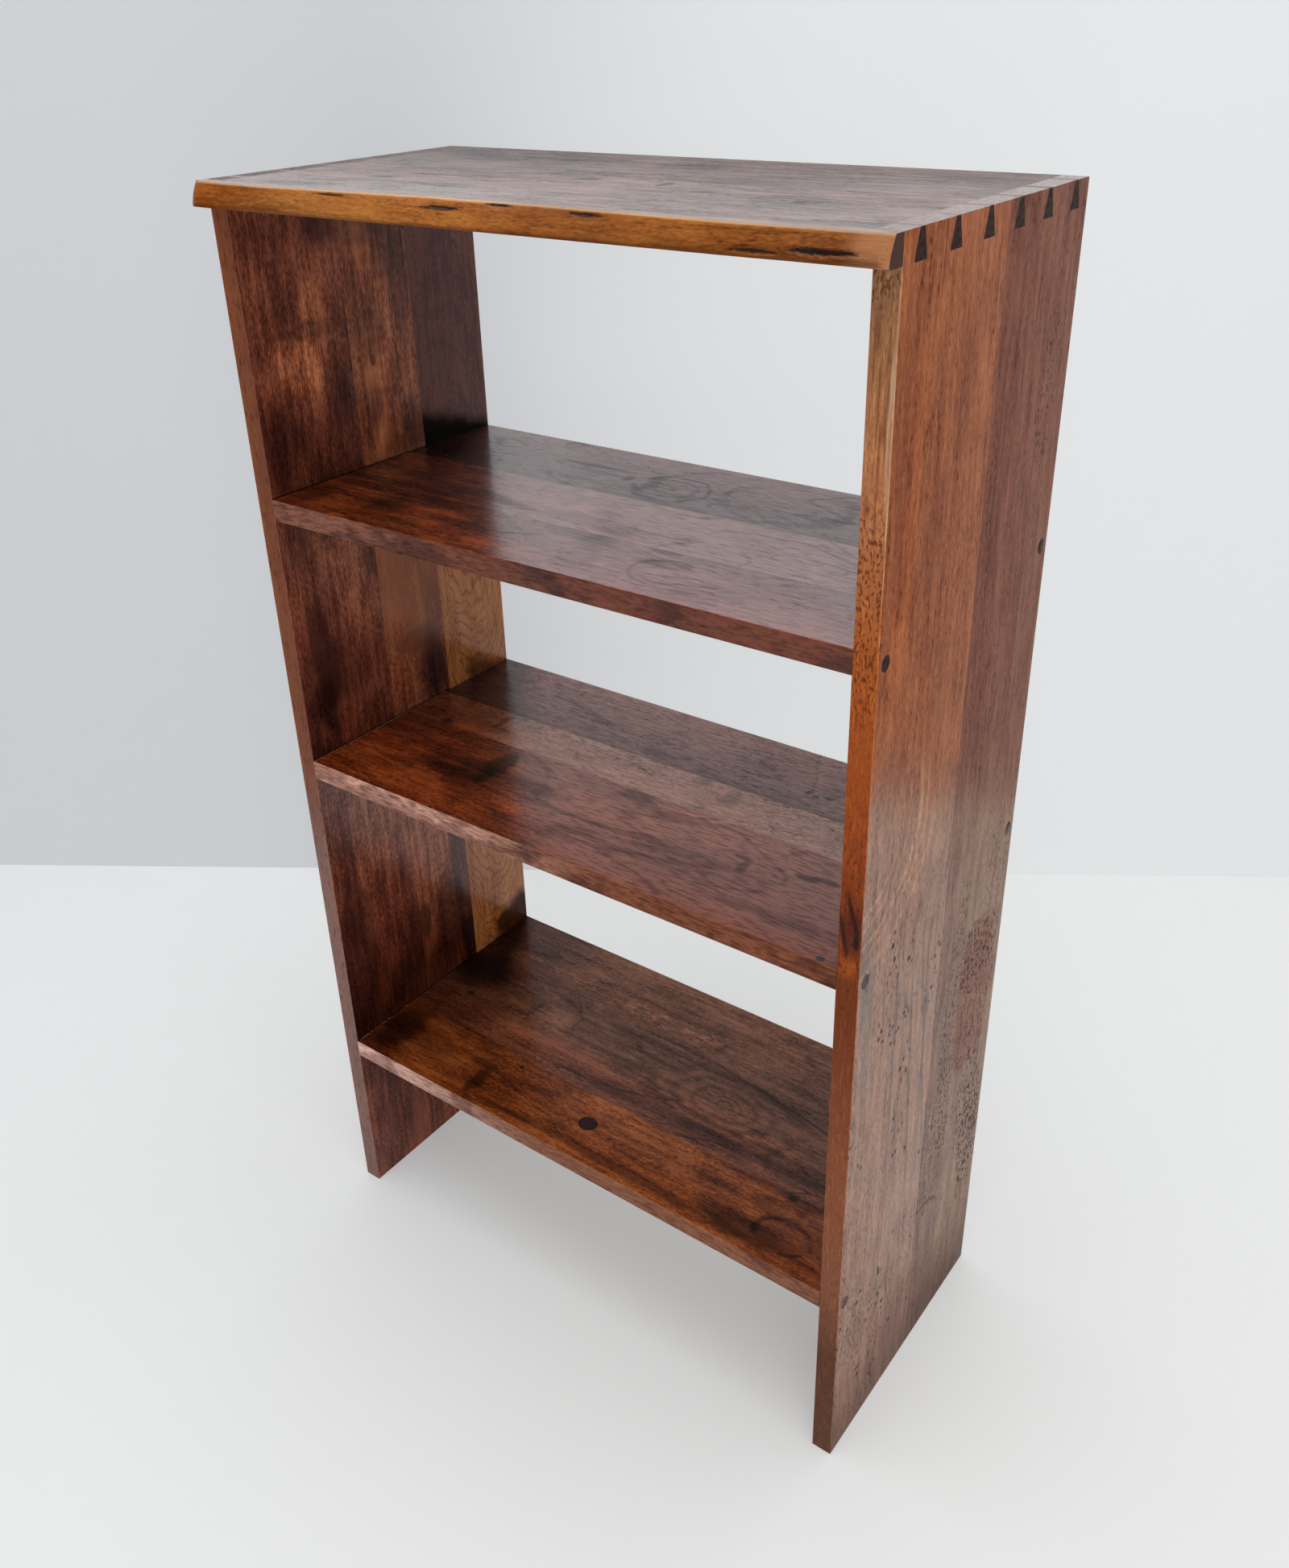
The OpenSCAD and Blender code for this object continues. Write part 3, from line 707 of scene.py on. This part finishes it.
# Painted reflection: brighter over the board's rear half.
wood.shade((1.55, 1.75, 1.9), veil * wood.cross(-0.08, -0.03))
wood.figure(3.0, 12.0, 9.0, (0.6, 0.55, 0.6), 0.8, 0.8)
wood.marks((0.22, 0.2, 0.24), 0.9, 0.8,
        (-0.13, -0.035, 0.011, 0.026, 1.0), (-0.128, -0.062, 0.008, 0.01, 0.9),
        (-0.165, -0.068, 0.034, 0.008, 0.9), (-0.15, -0.05, 0.02, 0.012, 0.7),
        (-0.25, -0.04, 0.03, 0.012, 0.5), (0.01, -0.01, 0.018, 0.009, 0.7),
        (0.153, -0.052, 0.005, 0.009, 0.7), (0.145, -0.04, 0.01, 0.004, 0.5),
        (0.205, -0.038, 0.01, 0.004, 0.9), (0.222, -0.034, 0.012, 0.003, 0.9),
        (-0.25, -0.005, 0.04, 0.008, 0.5), (-0.08, -0.05, 0.04, 0.01, 0.6), (-0.04, -0.068, 0.06, 0.004, 0.5),
        (0.12, -0.06, 0.06, 0.004, 0.4), (0.06, -0.088, 0.09, 0.004, 0.4), (0.22, -0.1, 0.05, 0.008, 0.5))
for reach in (0.007, 0.012, 0.018):
    bow = wood.far(0.052, 0.002, reach * 2.9, reach, 0.2)
    bow = wood.between(abs(bow - 1.0), 0.12, 0.03) * wood.run(0.015, 0.035)
    wood.shade((1.5, 1.6, 1.7), bow * 0.7)
wood.shade((1.4, 1.35, 1.1), wood.spot(-0.25, -0.06, 0.04, 0.02, 0.8, 1.0) * 0.6)
wood.shade((1.5, 1.45, 1.3), wood.spot(-0.02, -0.07, 0.07, 0.036, 0.8, 1.0) * 0.8)
wood.shade((1.3, 1.35, 1.35), wood.spot(0.12, -0.022, 0.07, 0.02, 0.6, 1.0) * 0.8)
dusty(wood)
wood.stain((0.01, 0.005, 0.004), wood.spot(0.268, -0.125, 0.004, 0.003, 0.2, 0.3))
shelf_front(wood, (0.75, 0.43, 0.32), (0.195, 0.065, 0.026), -0.06)
wood.fibres(0.9)
fit(board, "shelf_walnut", wood.polish(0.88, 0.15, index=1.76))

board = bring_board("middle_shelf_middle_board", shelf_arrises)
wood = Walnut("middle shelf pale walnut", False, 77.0, (0.03, 0.3), 0.006, (0.32, 0.115, 0.06),
              (0.52, 0.195, 0.105), (0.66, 0.28, 0.15), rings=0.05, mottle=0.3, pores=1.0)
wood.figure(6.0, 14.0, 10.0, (0.62, 0.56, 0.56), 0.9, 1.2)
wood.shade((0.42, 0.2, 0.08), wood.run(-0.13, -0.2, 0.03))
specks = wood.between(wood.cloud(150.0, 560.0, 2.0), 0.53, 0.62) * wood.cross(0.01, 0.045)
wood.shade((0.28, 0.24, 0.26), specks * 0.8)
wood.marks((0.2, 0.16, 0.18), 0.9, 0.7,
        (-0.235, 0.004, 0.008, 0.005, 1.0), (-0.187, 0.034, 0.005, 0.02, 0.7),
        (-0.265, 0.012, 0.016, 0.008, 0.5), (-0.18, 0.02, 0.018, 0.004, 0.6),
        (0.085, 0.036, 0.01, 0.014, 0.5), (0.048, 0.044, 0.012, 0.006, 0.5))
wood.shade((1.5, 1.5, 1.3), wood.spot(-0.215, 0.004, 0.024, 0.004, 0.9, 0.8))
wood.fibres(0.6)
fit(board, "shelf_pale_walnut", wood.polish(0.97, index=2.02))

board = bring_board("middle_shelf_rear_board", shelf_arrises)
wood = Walnut("middle shelf rear walnut", False, 83.0, (0.1, 0.3), 0.006, (0.11, 0.034, 0.026),
              (0.205, 0.068, 0.048), (0.29, 0.105, 0.072), rings=0.05, mottle=0.4, pores=0.9)
gloom = wood.between(wood.along + wood.across * 0.8 + wood.fray * 0.02, -0.1, -0.16)
wood.smudge(gloom, (0.2, 0.11, 0.08), 0.25)
wood.figure(2.5, 12.0, 10.0, (0.6, 0.56, 0.6), 0.8, 0.8)
wood.smudge(wood.spot(-0.02, 0.066, 0.018, 0.006, 0.9, 0.9) * 0.7)
wood.smudge(wood.cross(0.064, 0.053, 0.003) * 0.35)
crack = abs(wood.along - 0.118 - (0.13 - wood.across) * 0.5 + wood.fray * 0.006 + (wood.grain - 0.5) * 0.01)
crack = wood.between(crack, 0.0014, 0.0004) * wood.cross(0.074, 0.082)
wood.smudge(crack * wood.between(wood.fleck, 0.4, 0.52) * 0.8, (0.25, 0.25, 0.3))
for x, y, long, wide in (
        (0.146, 0.079, 0.004, 0.003), (0.158, 0.082, 0.005, 0.002), (0.137, 0.083, 0.003, 0.004)):
    wood.smudge(wood.spot(x, y, long, wide, 0.6, 0.6), (0.2, 0.2, 0.25))
wood.fibres(0.9)
fit(board, "shelf_dark_walnut", wood.polish(1.0, index=1.78))

board = bring_board("lower_shelf_front_board", shelf_arrises)
wood = Walnut("lower shelf front walnut", False, 91.0, (-0.09, -0.05), 0.006, (0.07, 0.013, 0.002),
              (0.19, 0.041, 0.007), (0.3, 0.08, 0.015), rings=0.05, mottle=0.5, pores=0.8, grain=1.2)
band = wood.spot(0.02, -0.058, 0.15, 0.007, 0.7, 1.0) + wood.spot(-0.11, -0.062, 0.04, 0.014, 0.7, 1.0)
wood.shade((1.5, 1.6, 1.8), band * 0.7)
wood.shade((1.5, 1.65, 1.7), wood.run(-0.14, 0.0, 0.03) * 0.8)
wood.shade((0.5, 0.42, 0.42), wood.run(-0.215, -0.255, 0.03))
wood.shade((0.6, 0.52, 0.52), wood.run(0.17, 0.23, 0.03) * 0.8)
wood.figure(3.0, 12.0, 9.0, (0.6, 0.54, 0.58), 0.8, 0.8)
wood.marks((0.26, 0.24, 0.26), 0.8, 0.9,
        (-0.262, -0.086, 0.022, 0.028, 0.9), (-0.137, -0.1, 0.007, 0.022, 0.9),
        (-0.15, -0.078, 0.016, 0.007, 0.8), (-0.095, -0.119, 0.034, 0.004, 0.8),
        (-0.21, -0.088, 0.026, 0.02, 0.5), (0.2, -0.052, 0.06, 0.004, 0.5), (0.06, -0.116, 0.12, 0.006, 0.8),
        (0.19, -0.108, 0.05, 0.014, 0.9), (0.15, -0.078, 0.05, 0.004, 0.4))
wood.smudge(wood.loop(0.226, -0.097, 0.028, 0.019, 0.16, 0.2), (0.3, 0.28, 0.3))
wood.shade((1.5, 1.6, 1.5), wood.spot(-0.145, -0.126, 0.012, 0.006, 0.6, 0.8))
dusty(wood)
plug = wood.spot(-0.004, -0.085, 0.01, 0.0086, 0.1, 0.3)
wood.stain((0.028, 0.011, 0.008), plug)
wood.dim(plug * 0.5)
wood.stain((0.008, 0.004, 0.003), wood.loop(-0.004, -0.085, 0.0095, 0.0082, 0.1, 0.1))
for x, y, long, wide in ((0.212, -0.053, 0.005, 0.003), (-0.112, -0.06, 0.003, 0.002)):
    wood.stain((0.008, 0.004, 0.003), wood.spot(x, y, long, wide, 0.5, 0.4))
shelf_front(wood, (0.84, 0.54, 0.44), (0.24, 0.101, 0.058), -0.17)
wood.fibres(0.6)
fit(board, "shelf_walnut", wood.polish(0.48, 0.15))

board = bring_board("lower_shelf_rear_board", shelf_arrises)
wood = Walnut("lower shelf rear walnut", False, 97.0, (0.06, 0.06), 0.0085, (0.088, 0.028, 0.012),
              (0.19, 0.066, 0.029), (0.29, 0.11, 0.052),
              rings=0.1, mottle=0.45, pores=0.9, lean=0.03, grain=1.3)
wood.shade((0.5, 0.4, 0.36), wood.run(-0.15, -0.22, 0.03))
wood.figure(2.2, 11.0, 14.0, (0.56, 0.54, 0.56), 0.9, 0.6)
for reach, dark in ((0.006, 1.0), (0.012, 0.9), (0.02, 0.7), (0.029, 0.7), (0.04, 0.5)):
    ring = wood.far(0.093, 0.013, reach * (1.2 + reach * 24.0), reach, 0.32)
    where = wood.between(wood.blotch + wood.fray * 0.3, 0.36, 0.56) * 0.4 + 0.6
    wood.smudge(wood.between(abs(ring - 1.0), 0.16, 0.04) * dark * where, (0.3, 0.28, 0.29))
pale = wood.between(abs(wood.far(0.093, 0.013, 0.018, 0.013, 0.3) - 1.0), 0.16, 0.04)
wood.shade((1.5, 1.5, 1.5), pale * 0.7)
wood.shade((1.5, 1.6, 1.7), wood.spot(-0.132, 0.02, 0.026, 0.014, 0.9, 1.0) * 0.8)
wood.patches((1.35, 1.3, 1.2), 0.8, 1.0, (-0.06, -0.018, 0.11, 0.01, 0.7), (0.15, -0.01, 0.06, 0.012, 0.7))
wood.smudge(wood.loop(-0.136, 0.022, 0.03, 0.03, 0.12, 0.4) * 0.7, (0.4, 0.38, 0.4))
sweep = abs(wood.across - 0.062 + (wood.along + 0.02) ** 2.0 * 0.55 + wood.fray * 0.003)
wood.smudge(wood.between(sweep, 0.003, 0.0006) * wood.run(-0.05, 0.02) * 0.8, (0.4, 0.38, 0.4))
chips = wood.between(wood.cloud(75.0, 130.0, 2.0), 0.52, 0.6)
chips = chips * wood.between(abs(wood.across - 0.086 + wood.fray * 0.008), 0.016, 0.006)
wood.shade((1.6, 1.6, 1.65), chips * wood.run(0.14, 0.02))
wood.shade((1.15, 0.92, 0.8), wood.cross(0.01, -0.02, 0.01))
gloom = wood.between(wood.along + wood.across * 0.5 + wood.fray * 0.016, -0.19, -0.215)
wood.smudge(gloom * wood.cross(0.0, 0.06), (0.22, 0.19, 0.2), 0.5)
wood.marks((0.28, 0.26, 0.28), 0.8, 0.9,
        (-0.255, 0.04, 0.04, 0.03, 1.0), (-0.24, 0.001, 0.005, 0.004, 1.0), (0.06, -0.03, 0.14, 0.008, 0.6),
        (0.2, -0.024, 0.05, 0.012, 0.6), (0.02, 0.05, 0.12, 0.005, 0.5), (-0.05, 0.01, 0.1, 0.003, 0.5),
        (0.0, 0.03, 0.09, 0.003, 0.5), (0.042, 0.082, 0.006, 0.005, 0.6))
wood.fibres(0.6)
fit(board, "shelf_dark_walnut", wood.polish(0.72))

# Pegs: twelve dark walnut pegs, driven through the sides into the shelf ends, then cut off and
# planed flush. Their end grain shows outside as a round, nearly black spot with a tight joint.
for node in sorted(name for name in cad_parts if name.endswith("_peg")):
    low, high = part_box(node)
    middle = (low + high) / 2
    rim = [((0, outer if middle.x > 0 else -outer),)]
    peg = bring_board(node, rim, ease=0.0003)
    shade = 0.75 if node.startswith("upper") else 1.25
    seed = 130.0 + middle.x * 20 + middle.z * 9
    wood = Walnut(node.replace("_", " "), False, seed, (middle.y + 0.003, middle.z), 0.0013,
                  (0.01, 0.005, 0.004), (0.03, 0.014, 0.01), (0.05, 0.02, 0.014), rings=0.8)
    wood.stain((0.005, 0.003, 0.002), wood.loop(middle.x, middle.y, 9.0, 0.0042, 0.03, 0.0) * 0.3)
    end = (0.024 * shade, 0.01 * shade, 0.008 * shade)
    fit(peg, "peg_walnut", wood.polish(0.55, end=end, end_coat=0.5))

# Top: a rear board and a front board that keeps its live edge, both with pins sawn at their ends
# that lock between the sides' tails. The joint lines are cut fine, so they show as hairlines.
joint_lines = [((0, x),) for x in (-outer, outer)] + [((2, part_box("top_rear_board")[1].z),)]
hairline = 0.00022
board = bring_board("top_rear_board", joint_lines, hairline)
wood = Walnut("top rear walnut", False, 111.0, (0.1, 0.95), 0.006, (0.036, 0.015, 0.01),
              (0.088, 0.038, 0.028), (0.15, 0.073, 0.056), rings=0.05, mottle=0.45, grain=1.3)
gloom = wood.between(wood.along + wood.across * 0.5 + wood.fray * 0.08, 0.05, -0.1)
wood.shade((0.55, 0.5, 0.45), gloom * 0.6)
wood.figure(3.0, 10.0, 8.0, (0.5, 0.46, 0.5), 0.7, 0.9)
for x, y in ((-0.18, 0.074), (-0.1, 0.1), (0.01, 0.09), (-0.24, 0.11), (0.1, 0.02), (0.235, 0.11)):
    wood.smudge(wood.spot(x, y, 0.034, 0.018, 0.8, 1.0) * 0.6)


def painted_top_sheen(wood, more):
    """The top's polish is made stronger towards its front and in places, a painted sheen that brightens its
    reflection there.
    """
    wood.shine = wood.shine * (0.8 - (wood.across - front) * 1.8)
    wood.shine = wood.shine * (1.0 + more)


painted_top_sheen(wood, wood.between(abs(wood.along), 0.12, 0.22) * wood.cross(0.12, 0.07) * 0.2)
fit(board, "top_walnut", wood.polish(1.0, end=(0.018, 0.008, 0.006)))

# The live edge is the outside of the log with its bark off: amber sapwood, sloping outwards going
# down, bowed along its length, with black checks where it has split and an upper arris rubbed paler and
# painted paler as a highlight.
# Each check has its place along the board and up from the underside, half its length and width, and depth.
checks = ((-0.039, 0.0132, 0.016, 0.001, 0.0012), (0.009, 0.0172, 0.013, 0.0008, 0.001),
          (0.085, 0.016, 0.015, 0.0009, 0.001), (0.262, 0.0072, 0.024, 0.0016, 0.0028),
          (0.213, 0.0048, 0.018, 0.0009, 0.001), (-0.15, 0.0165, 0.016, 0.0005, 0.0005))
board = bring_board("top_front_board", joint_lines, hairline)
low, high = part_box("top_front_board")
cut = front - 0.0012
drawn_out, furthest = 0.0138, 0.14985
bpy.ops.object.mode_set(mode="EDIT")
bpy.ops.mesh.select_mode(type="FACE")
bpy.ops.mesh.select_all(action="SELECT")
bpy.ops.mesh.bisect(plane_co=(0.0, cut, 0.0), plane_no=(0.0, -1.0, 0.0), clear_outer=True, use_fill=True)
bpy.ops.mesh.select_all(action="DESELECT")
skin = bmesh.from_edit_mesh(board.data)
for face in skin.faces:
    face.select_set(all(abs(corner.co.y - cut) < touching for corner in face.verts))
bmesh.update_edit_mesh(board.data)
bpy.ops.mesh.dissolve_limited(angle_limit=math.radians(1))
bpy.ops.mesh.extrude_region_move(TRANSFORM_OT_translate={"value": (0.0, -drawn_out, 0.0)})


def pick_runs(board, axis):
    """Selects the edges ahead of the cut that run along one axis."""
    skin = bmesh.from_edit_mesh(board.data)
    for edge in skin.edges:
        run = edge.verts[0].co - edge.verts[1].co
        ahead = max(end.co.y for end in edge.verts) < cut + touching
        edge.select_set(ahead and abs(run[axis]) > 0.99 * run.length)
    bmesh.update_edit_mesh(board.data)


bpy.ops.mesh.select_mode(type="EDGE")
for axis, cuts in ((0, 100), (0, 5), (2, 21), (1, 5)):
    bpy.ops.mesh.select_all(action="DESELECT")
    pick_runs(board, axis)
    bpy.ops.mesh.subdivide(number_cuts=cuts)
bpy.ops.object.mode_set(mode="OBJECT")


def overhang(x, share):
    """How far the live edge stands past the sides, by place along it and share of the way down."""
    bow = max(0.0, 1.0 - ((x + 0.015) / 0.185) ** 2) ** 1.3
    upper = 0.0125 + 0.003 * max(0.0, -x - 0.16) / 0.1 - 0.007 * bow
    upper = upper - 0.005 * max(0.0, -x - 0.265) / 0.04
    lower = 0.0192 - 0.002 * bow
    reach = upper + (lower - upper) * (1.0 - (1.0 - share) ** 1.6)
    reach = reach - 0.0016 * max(0.0, (share - 0.92) / 0.08) ** 2
    corner = max(0.0, (abs(x) - 0.2965) / 0.007)
    return reach - 0.0022 * corner ** 2


for point in board.data.vertices:
    if point.co.y < cut - touching:
        x, z = point.co.x, point.co.z
        out = (cut - point.co.y) / drawn_out
        share = (high.z - z) / (high.z - low.z)
        face = -front + overhang(x, share)
        face = face + 0.0005 * noise.noise(Vector((x * 16, z * 90, 3.0)))
        face = face + 0.00022 * noise.noise(Vector((x * 60, z * 420, 7.0)))
        face = face + 0.0001 * noise.noise(Vector((x * 220, z * 900, 11.0)))
        for middle, up, half, tall, deep in checks:
            centre = low.z + up + 0.0009 * noise.noise(Vector((x * 130, middle * 70, 1.0)))
            along = 1.0 - ((x - middle) / half) ** 2
            if along > 0.0:
                width = tall * (along ** 0.7) * (1.0 + 0.6 * noise.noise(Vector((x * 400, 2.0, middle))))
                face = face - deep * max(0.0, 1.0 - ((z - centre) / max(width, 0.0002)) ** 2) ** 0.7
        face = min(face, furthest)
        point.co.y = cut + (-face - cut) * out
        rounded = 0.0009 * (out ** 6)
        if share < 0.001:
            point.co.z = z - rounded
        if share > 0.999:
            point.co.z = z + rounded
for face in board.data.polygons:
    face.use_smooth = face.normal.y < -0.2 and face.center.y < cut

wood = Walnut("top front walnut", False, 119.0, (-0.06, 0.9), 0.006, (0.05, 0.022, 0.015),
              (0.115, 0.052, 0.039), (0.19, 0.094, 0.073), rings=0.05, mottle=0.45, grain=1.3)
wood.figure(3.0, 10.0, 8.0, (0.5, 0.46, 0.5), 0.7, 0.9)
wood.stain((0.34, 0.2, 0.12), wood.cross(-0.128, -0.139, 0.003) * 0.6)
for x, y, long, wide in (
        (-0.018, -0.008, 0.01, 0.006), (0.055, -0.012, 0.004, 0.01), (0.19, -0.052, 0.005, 0.009),
        (0.1, -0.036, 0.008, 0.003), (-0.18, -0.06, 0.014, 0.006)):
    wood.smudge(wood.spot(x, y, long, wide, 0.8, 0.8), (0.2, 0.18, 0.2))
wood.smudge(wood.loop(0.178, -0.045, 0.022, 0.016, 0.14, 0.3) * 0.6)
painted_top_sheen(wood, wood.between(abs(wood.along + 0.12), 0.16, 0.04) * wood.cross(-0.07, -0.1) * 0.28)
past = wood.cross(front, cut)
wood.stain((0.07, 0.027, 0.018), wood.end_grain * past)
wood.end_grain = wood.end_grain * (1.0 - past)
top_finish = wood.polish(1.0, end=(0.018, 0.008, 0.006))
sap = Walnut("live edge sapwood", False, 141.0, (-0.135, 1.02), 0.0045, (0.125, 0.034, 0.006),
             (0.215, 0.07, 0.013), (0.3, 0.112, 0.024), rings=0.06, mottle=0.35, pores=0.6, grain=0.8)
up = sap.node("SeparateXYZ", None, {0: sap.place}, output=2) - low.z
sap.stain((0.12, 0.036, 0.012), sap.between(up + sap.fray * 0.0012, 0.005, 0.0) * 0.6)
# The upper arris is rubbed paler, and painted paler still as a highlight.
sap.stain((0.48, 0.29, 0.14), sap.between(up + sap.fray * 0.0006, 0.0172, 0.0188) * 0.6)
sap.shade((0.72, 0.68, 0.7), sap.run(-0.02, 0.06, 0.01))
sap.smudge(sap.run(-0.2, -0.28, 0.01), (0.84, 0.62, 0.3), 0.6)
sap.shade((1.2, 1.22, 1.0), sap.between(abs(sap.along - 0.17) + sap.fray * 0.01, 0.08, 0.03))
sap.stain((0.27, 0.115, 0.05), sap.run(0.27, 0.29, 0.004) * 0.7)
for middle, level, half, tall, deep in checks:
    away = ((sap.along - middle) / (half * 1.05)) ** 2.0 + ((up - level) / (tall * 1.4)) ** 2.0
    split = away ** 0.5 + sap.fray * 0.45 + (sap.fleck - 0.5) * 1.6 + (sap.grain - 0.5) * 1.4
    sap.stain((0.02, 0.009, 0.006), sap.between(split, 1.15, 0.75) * 0.92)
streaks = sap.between(sap.cloud(12.0, 900.0, 3.0), 0.54, 0.74)
sap.shade((0.52, 0.46, 0.42), streaks * 0.8)
edge_finish = sap.polish(0.35, 0.35)
fit(board, "top_walnut", top_finish, edge_finish)
for face in board.data.polygons:
    if face.use_smooth:
        face.material_index = 1

# The room: a pale painted floor and wall. Both paints glow a little, so the shadow under the
# bookcase stays faint, and the wall is lit more to the right than to the left. A black card that
# only the polish mirrors stands in for the dim end of the room.


def show(paint, surface):
    """Puts this shader on the paint's surface."""
    paint.tree.links.new(surface.socket, paint.tree.nodes["Material Output"].inputs["Surface"])


def flat_sheet(name, corners):
    skin = bpy.data.meshes.new(name)
    skin.from_pydata(corners, [], [(0, 1, 2, 3)])
    return put_in_room(name, skin)


def bring_paint(name, colour, scuffed, glow, lit_up, lit_share, turn):
    """Matt paint that glows a little towards the room, from one tone to another across it."""
    paint = Finish(name)
    scuff = paint.node("TexNoise", None, {"Scale": 2.0, "Detail": 3.0})
    paint.feed(Base_Color=paint.lay(scuffed, colour, scuff))
    paint.shader.inputs["Roughness"].default_value = 0.65
    way = paint.node("SeparateXYZ", None, {0: paint.node("TexCoord", output="Object")})
    bright = paint.node("Emission", None, {"Color": paint.lay(glow, lit_up, paint.between(way, *turn))})
    seen = paint.node("LightPath") * lit_share
    mixed = paint.node("MixShader", None, {0: seen, 1: Amount(paint, paint.shader.outputs[0]), 2: bright})
    show(paint, mixed)
    return paint, mixed


bpy.ops.mesh.primitive_plane_add(size=9.0, location=(0.0, 0.0, 0.0))
floor = bpy.context.object
floor.name = "floor"
paint = bring_paint("floor paint", (0.82, 0.83, 0.835), (0.84, 0.85, 0.855), (0.72, 0.745, 0.76),
                    (0.8, 0.81, 0.795), 0.35, (0.4, -1.4))[0]
floor.data.materials.append(paint.material)

wall_run = Vector((0.837, 0.547, 0.0))
wall_foot = Vector((-0.839, 0.27, 0.0))
wall_near, wall_far, wall_height = -3.2, 1.75, Vector((0.0, 0.0, 3.0))
corners = [wall_foot + wall_run * wall_near, wall_foot + wall_run * wall_far]
wall = flat_sheet("wall", [*corners, corners[1] + wall_height, corners[0] + wall_height])
paint, mixed = bring_paint("wall paint", (0.76, 0.775, 0.79), (0.76, 0.775, 0.79), (0.54, 0.56, 0.59),
                           (0.8, 0.82, 0.83), 0.6, (-0.2, -0.7))
clear = paint.node("BsdfTransparent")
behind = paint.node("NewGeometry", output="Backfacing")
show(paint, paint.node("MixShader", None, {0: behind, 1: mixed, 2: clear}))
wall.data.materials.append(paint.material)
card = flat_sheet("black_card", [(0.45, 1.12, 0.0), (2.6, 0.25, 0.0), (2.6, 0.25, 2.0), (0.45, 1.12, 2.0)])
card.visible_camera = False
card.visible_diffuse = False
card.visible_shadow = False
felt = Finish("dim room")
way = felt.node("SeparateXYZ", None, {0: felt.node("TexCoord", output="Object")})
dim = felt.lay((0.5, 0.5, 0.5), (0.03, 0.03, 0.03), felt.between(way, 0.96, 0.54))
show(felt, felt.node("Emission", None, {"Color": dim}))
card.data.materials.append(felt.material)

# Light: a plain pale room round the object, darker where the polish mirrors it, a large soft lamp
# overhead and a smaller one low in front.
world = bpy.data.worlds.new("studio")
bpy.context.scene.world = world
world.use_nodes = True
sky = world.node_tree
plain = sky.nodes["Background"]
plain.inputs["Color"].default_value = (1.0, 1.0, 1.0, 1.0)
plain.inputs["Strength"].default_value = 0.5
seen = sky.nodes.new("ShaderNodeBackground")
seen.inputs["Color"].default_value = (0.72, 0.74, 0.76, 1.0)
mirrored = sky.nodes.new("ShaderNodeBackground")
mirrored.inputs["Color"].default_value = (0.05, 0.05, 0.05, 1.0)
rays = sky.nodes.new("ShaderNodeLightPath")
choice = sky.nodes.new("ShaderNodeMixShader")
sky.links.new(rays.outputs["Is Glossy Ray"], choice.inputs[0])
sky.links.new(plain.outputs[0], choice.inputs[1])
sky.links.new(mirrored.outputs[0], choice.inputs[2])
backdrop = sky.nodes.new("ShaderNodeMixShader")
sky.links.new(rays.outputs["Is Camera Ray"], backdrop.inputs[0])
sky.links.new(choice.outputs[0], backdrop.inputs[1])
sky.links.new(seen.outputs[0], backdrop.inputs[2])
sky.links.new(backdrop.outputs[0], sky.nodes["World Output"].inputs["Surface"])


def soft_box(name, place, aim, size, power):
    data = bpy.data.lights.new(name, "AREA")
    data.shape = "SQUARE"
    data.size = size
    data.energy = power
    lamp = put_in_room(name, data)
    lamp.location = place
    lamp.rotation_euler = (Vector(aim) - Vector(place)).to_track_quat("-Z", "Y").to_euler()


soft_box("overhead", (0.1, -0.1, 3.0), (0.0, 0.0, 0.5), 2.4, 58.0)
soft_box("low front", (1.8, -2.2, 0.7), (0.0, 0.0, 0.6), 1.6, 26.0)

# Camera: above the bookcase and to its right, looking down at it.
view = bpy.data.cameras.new("camera")
view.lens = 31.808
view.sensor_width = 36.0
view.shift_x = 0.00069
view.shift_y = -0.0273
camera = put_in_room("camera", view)
camera.location = (0.66869, -0.86767, 1.18554)
camera.rotation_euler = (math.radians(61.69757), math.radians(1.42087), math.radians(36.28579))
bpy.context.scene.camera = camera
bpy.context.scene.view_settings.view_transform = "Standard"
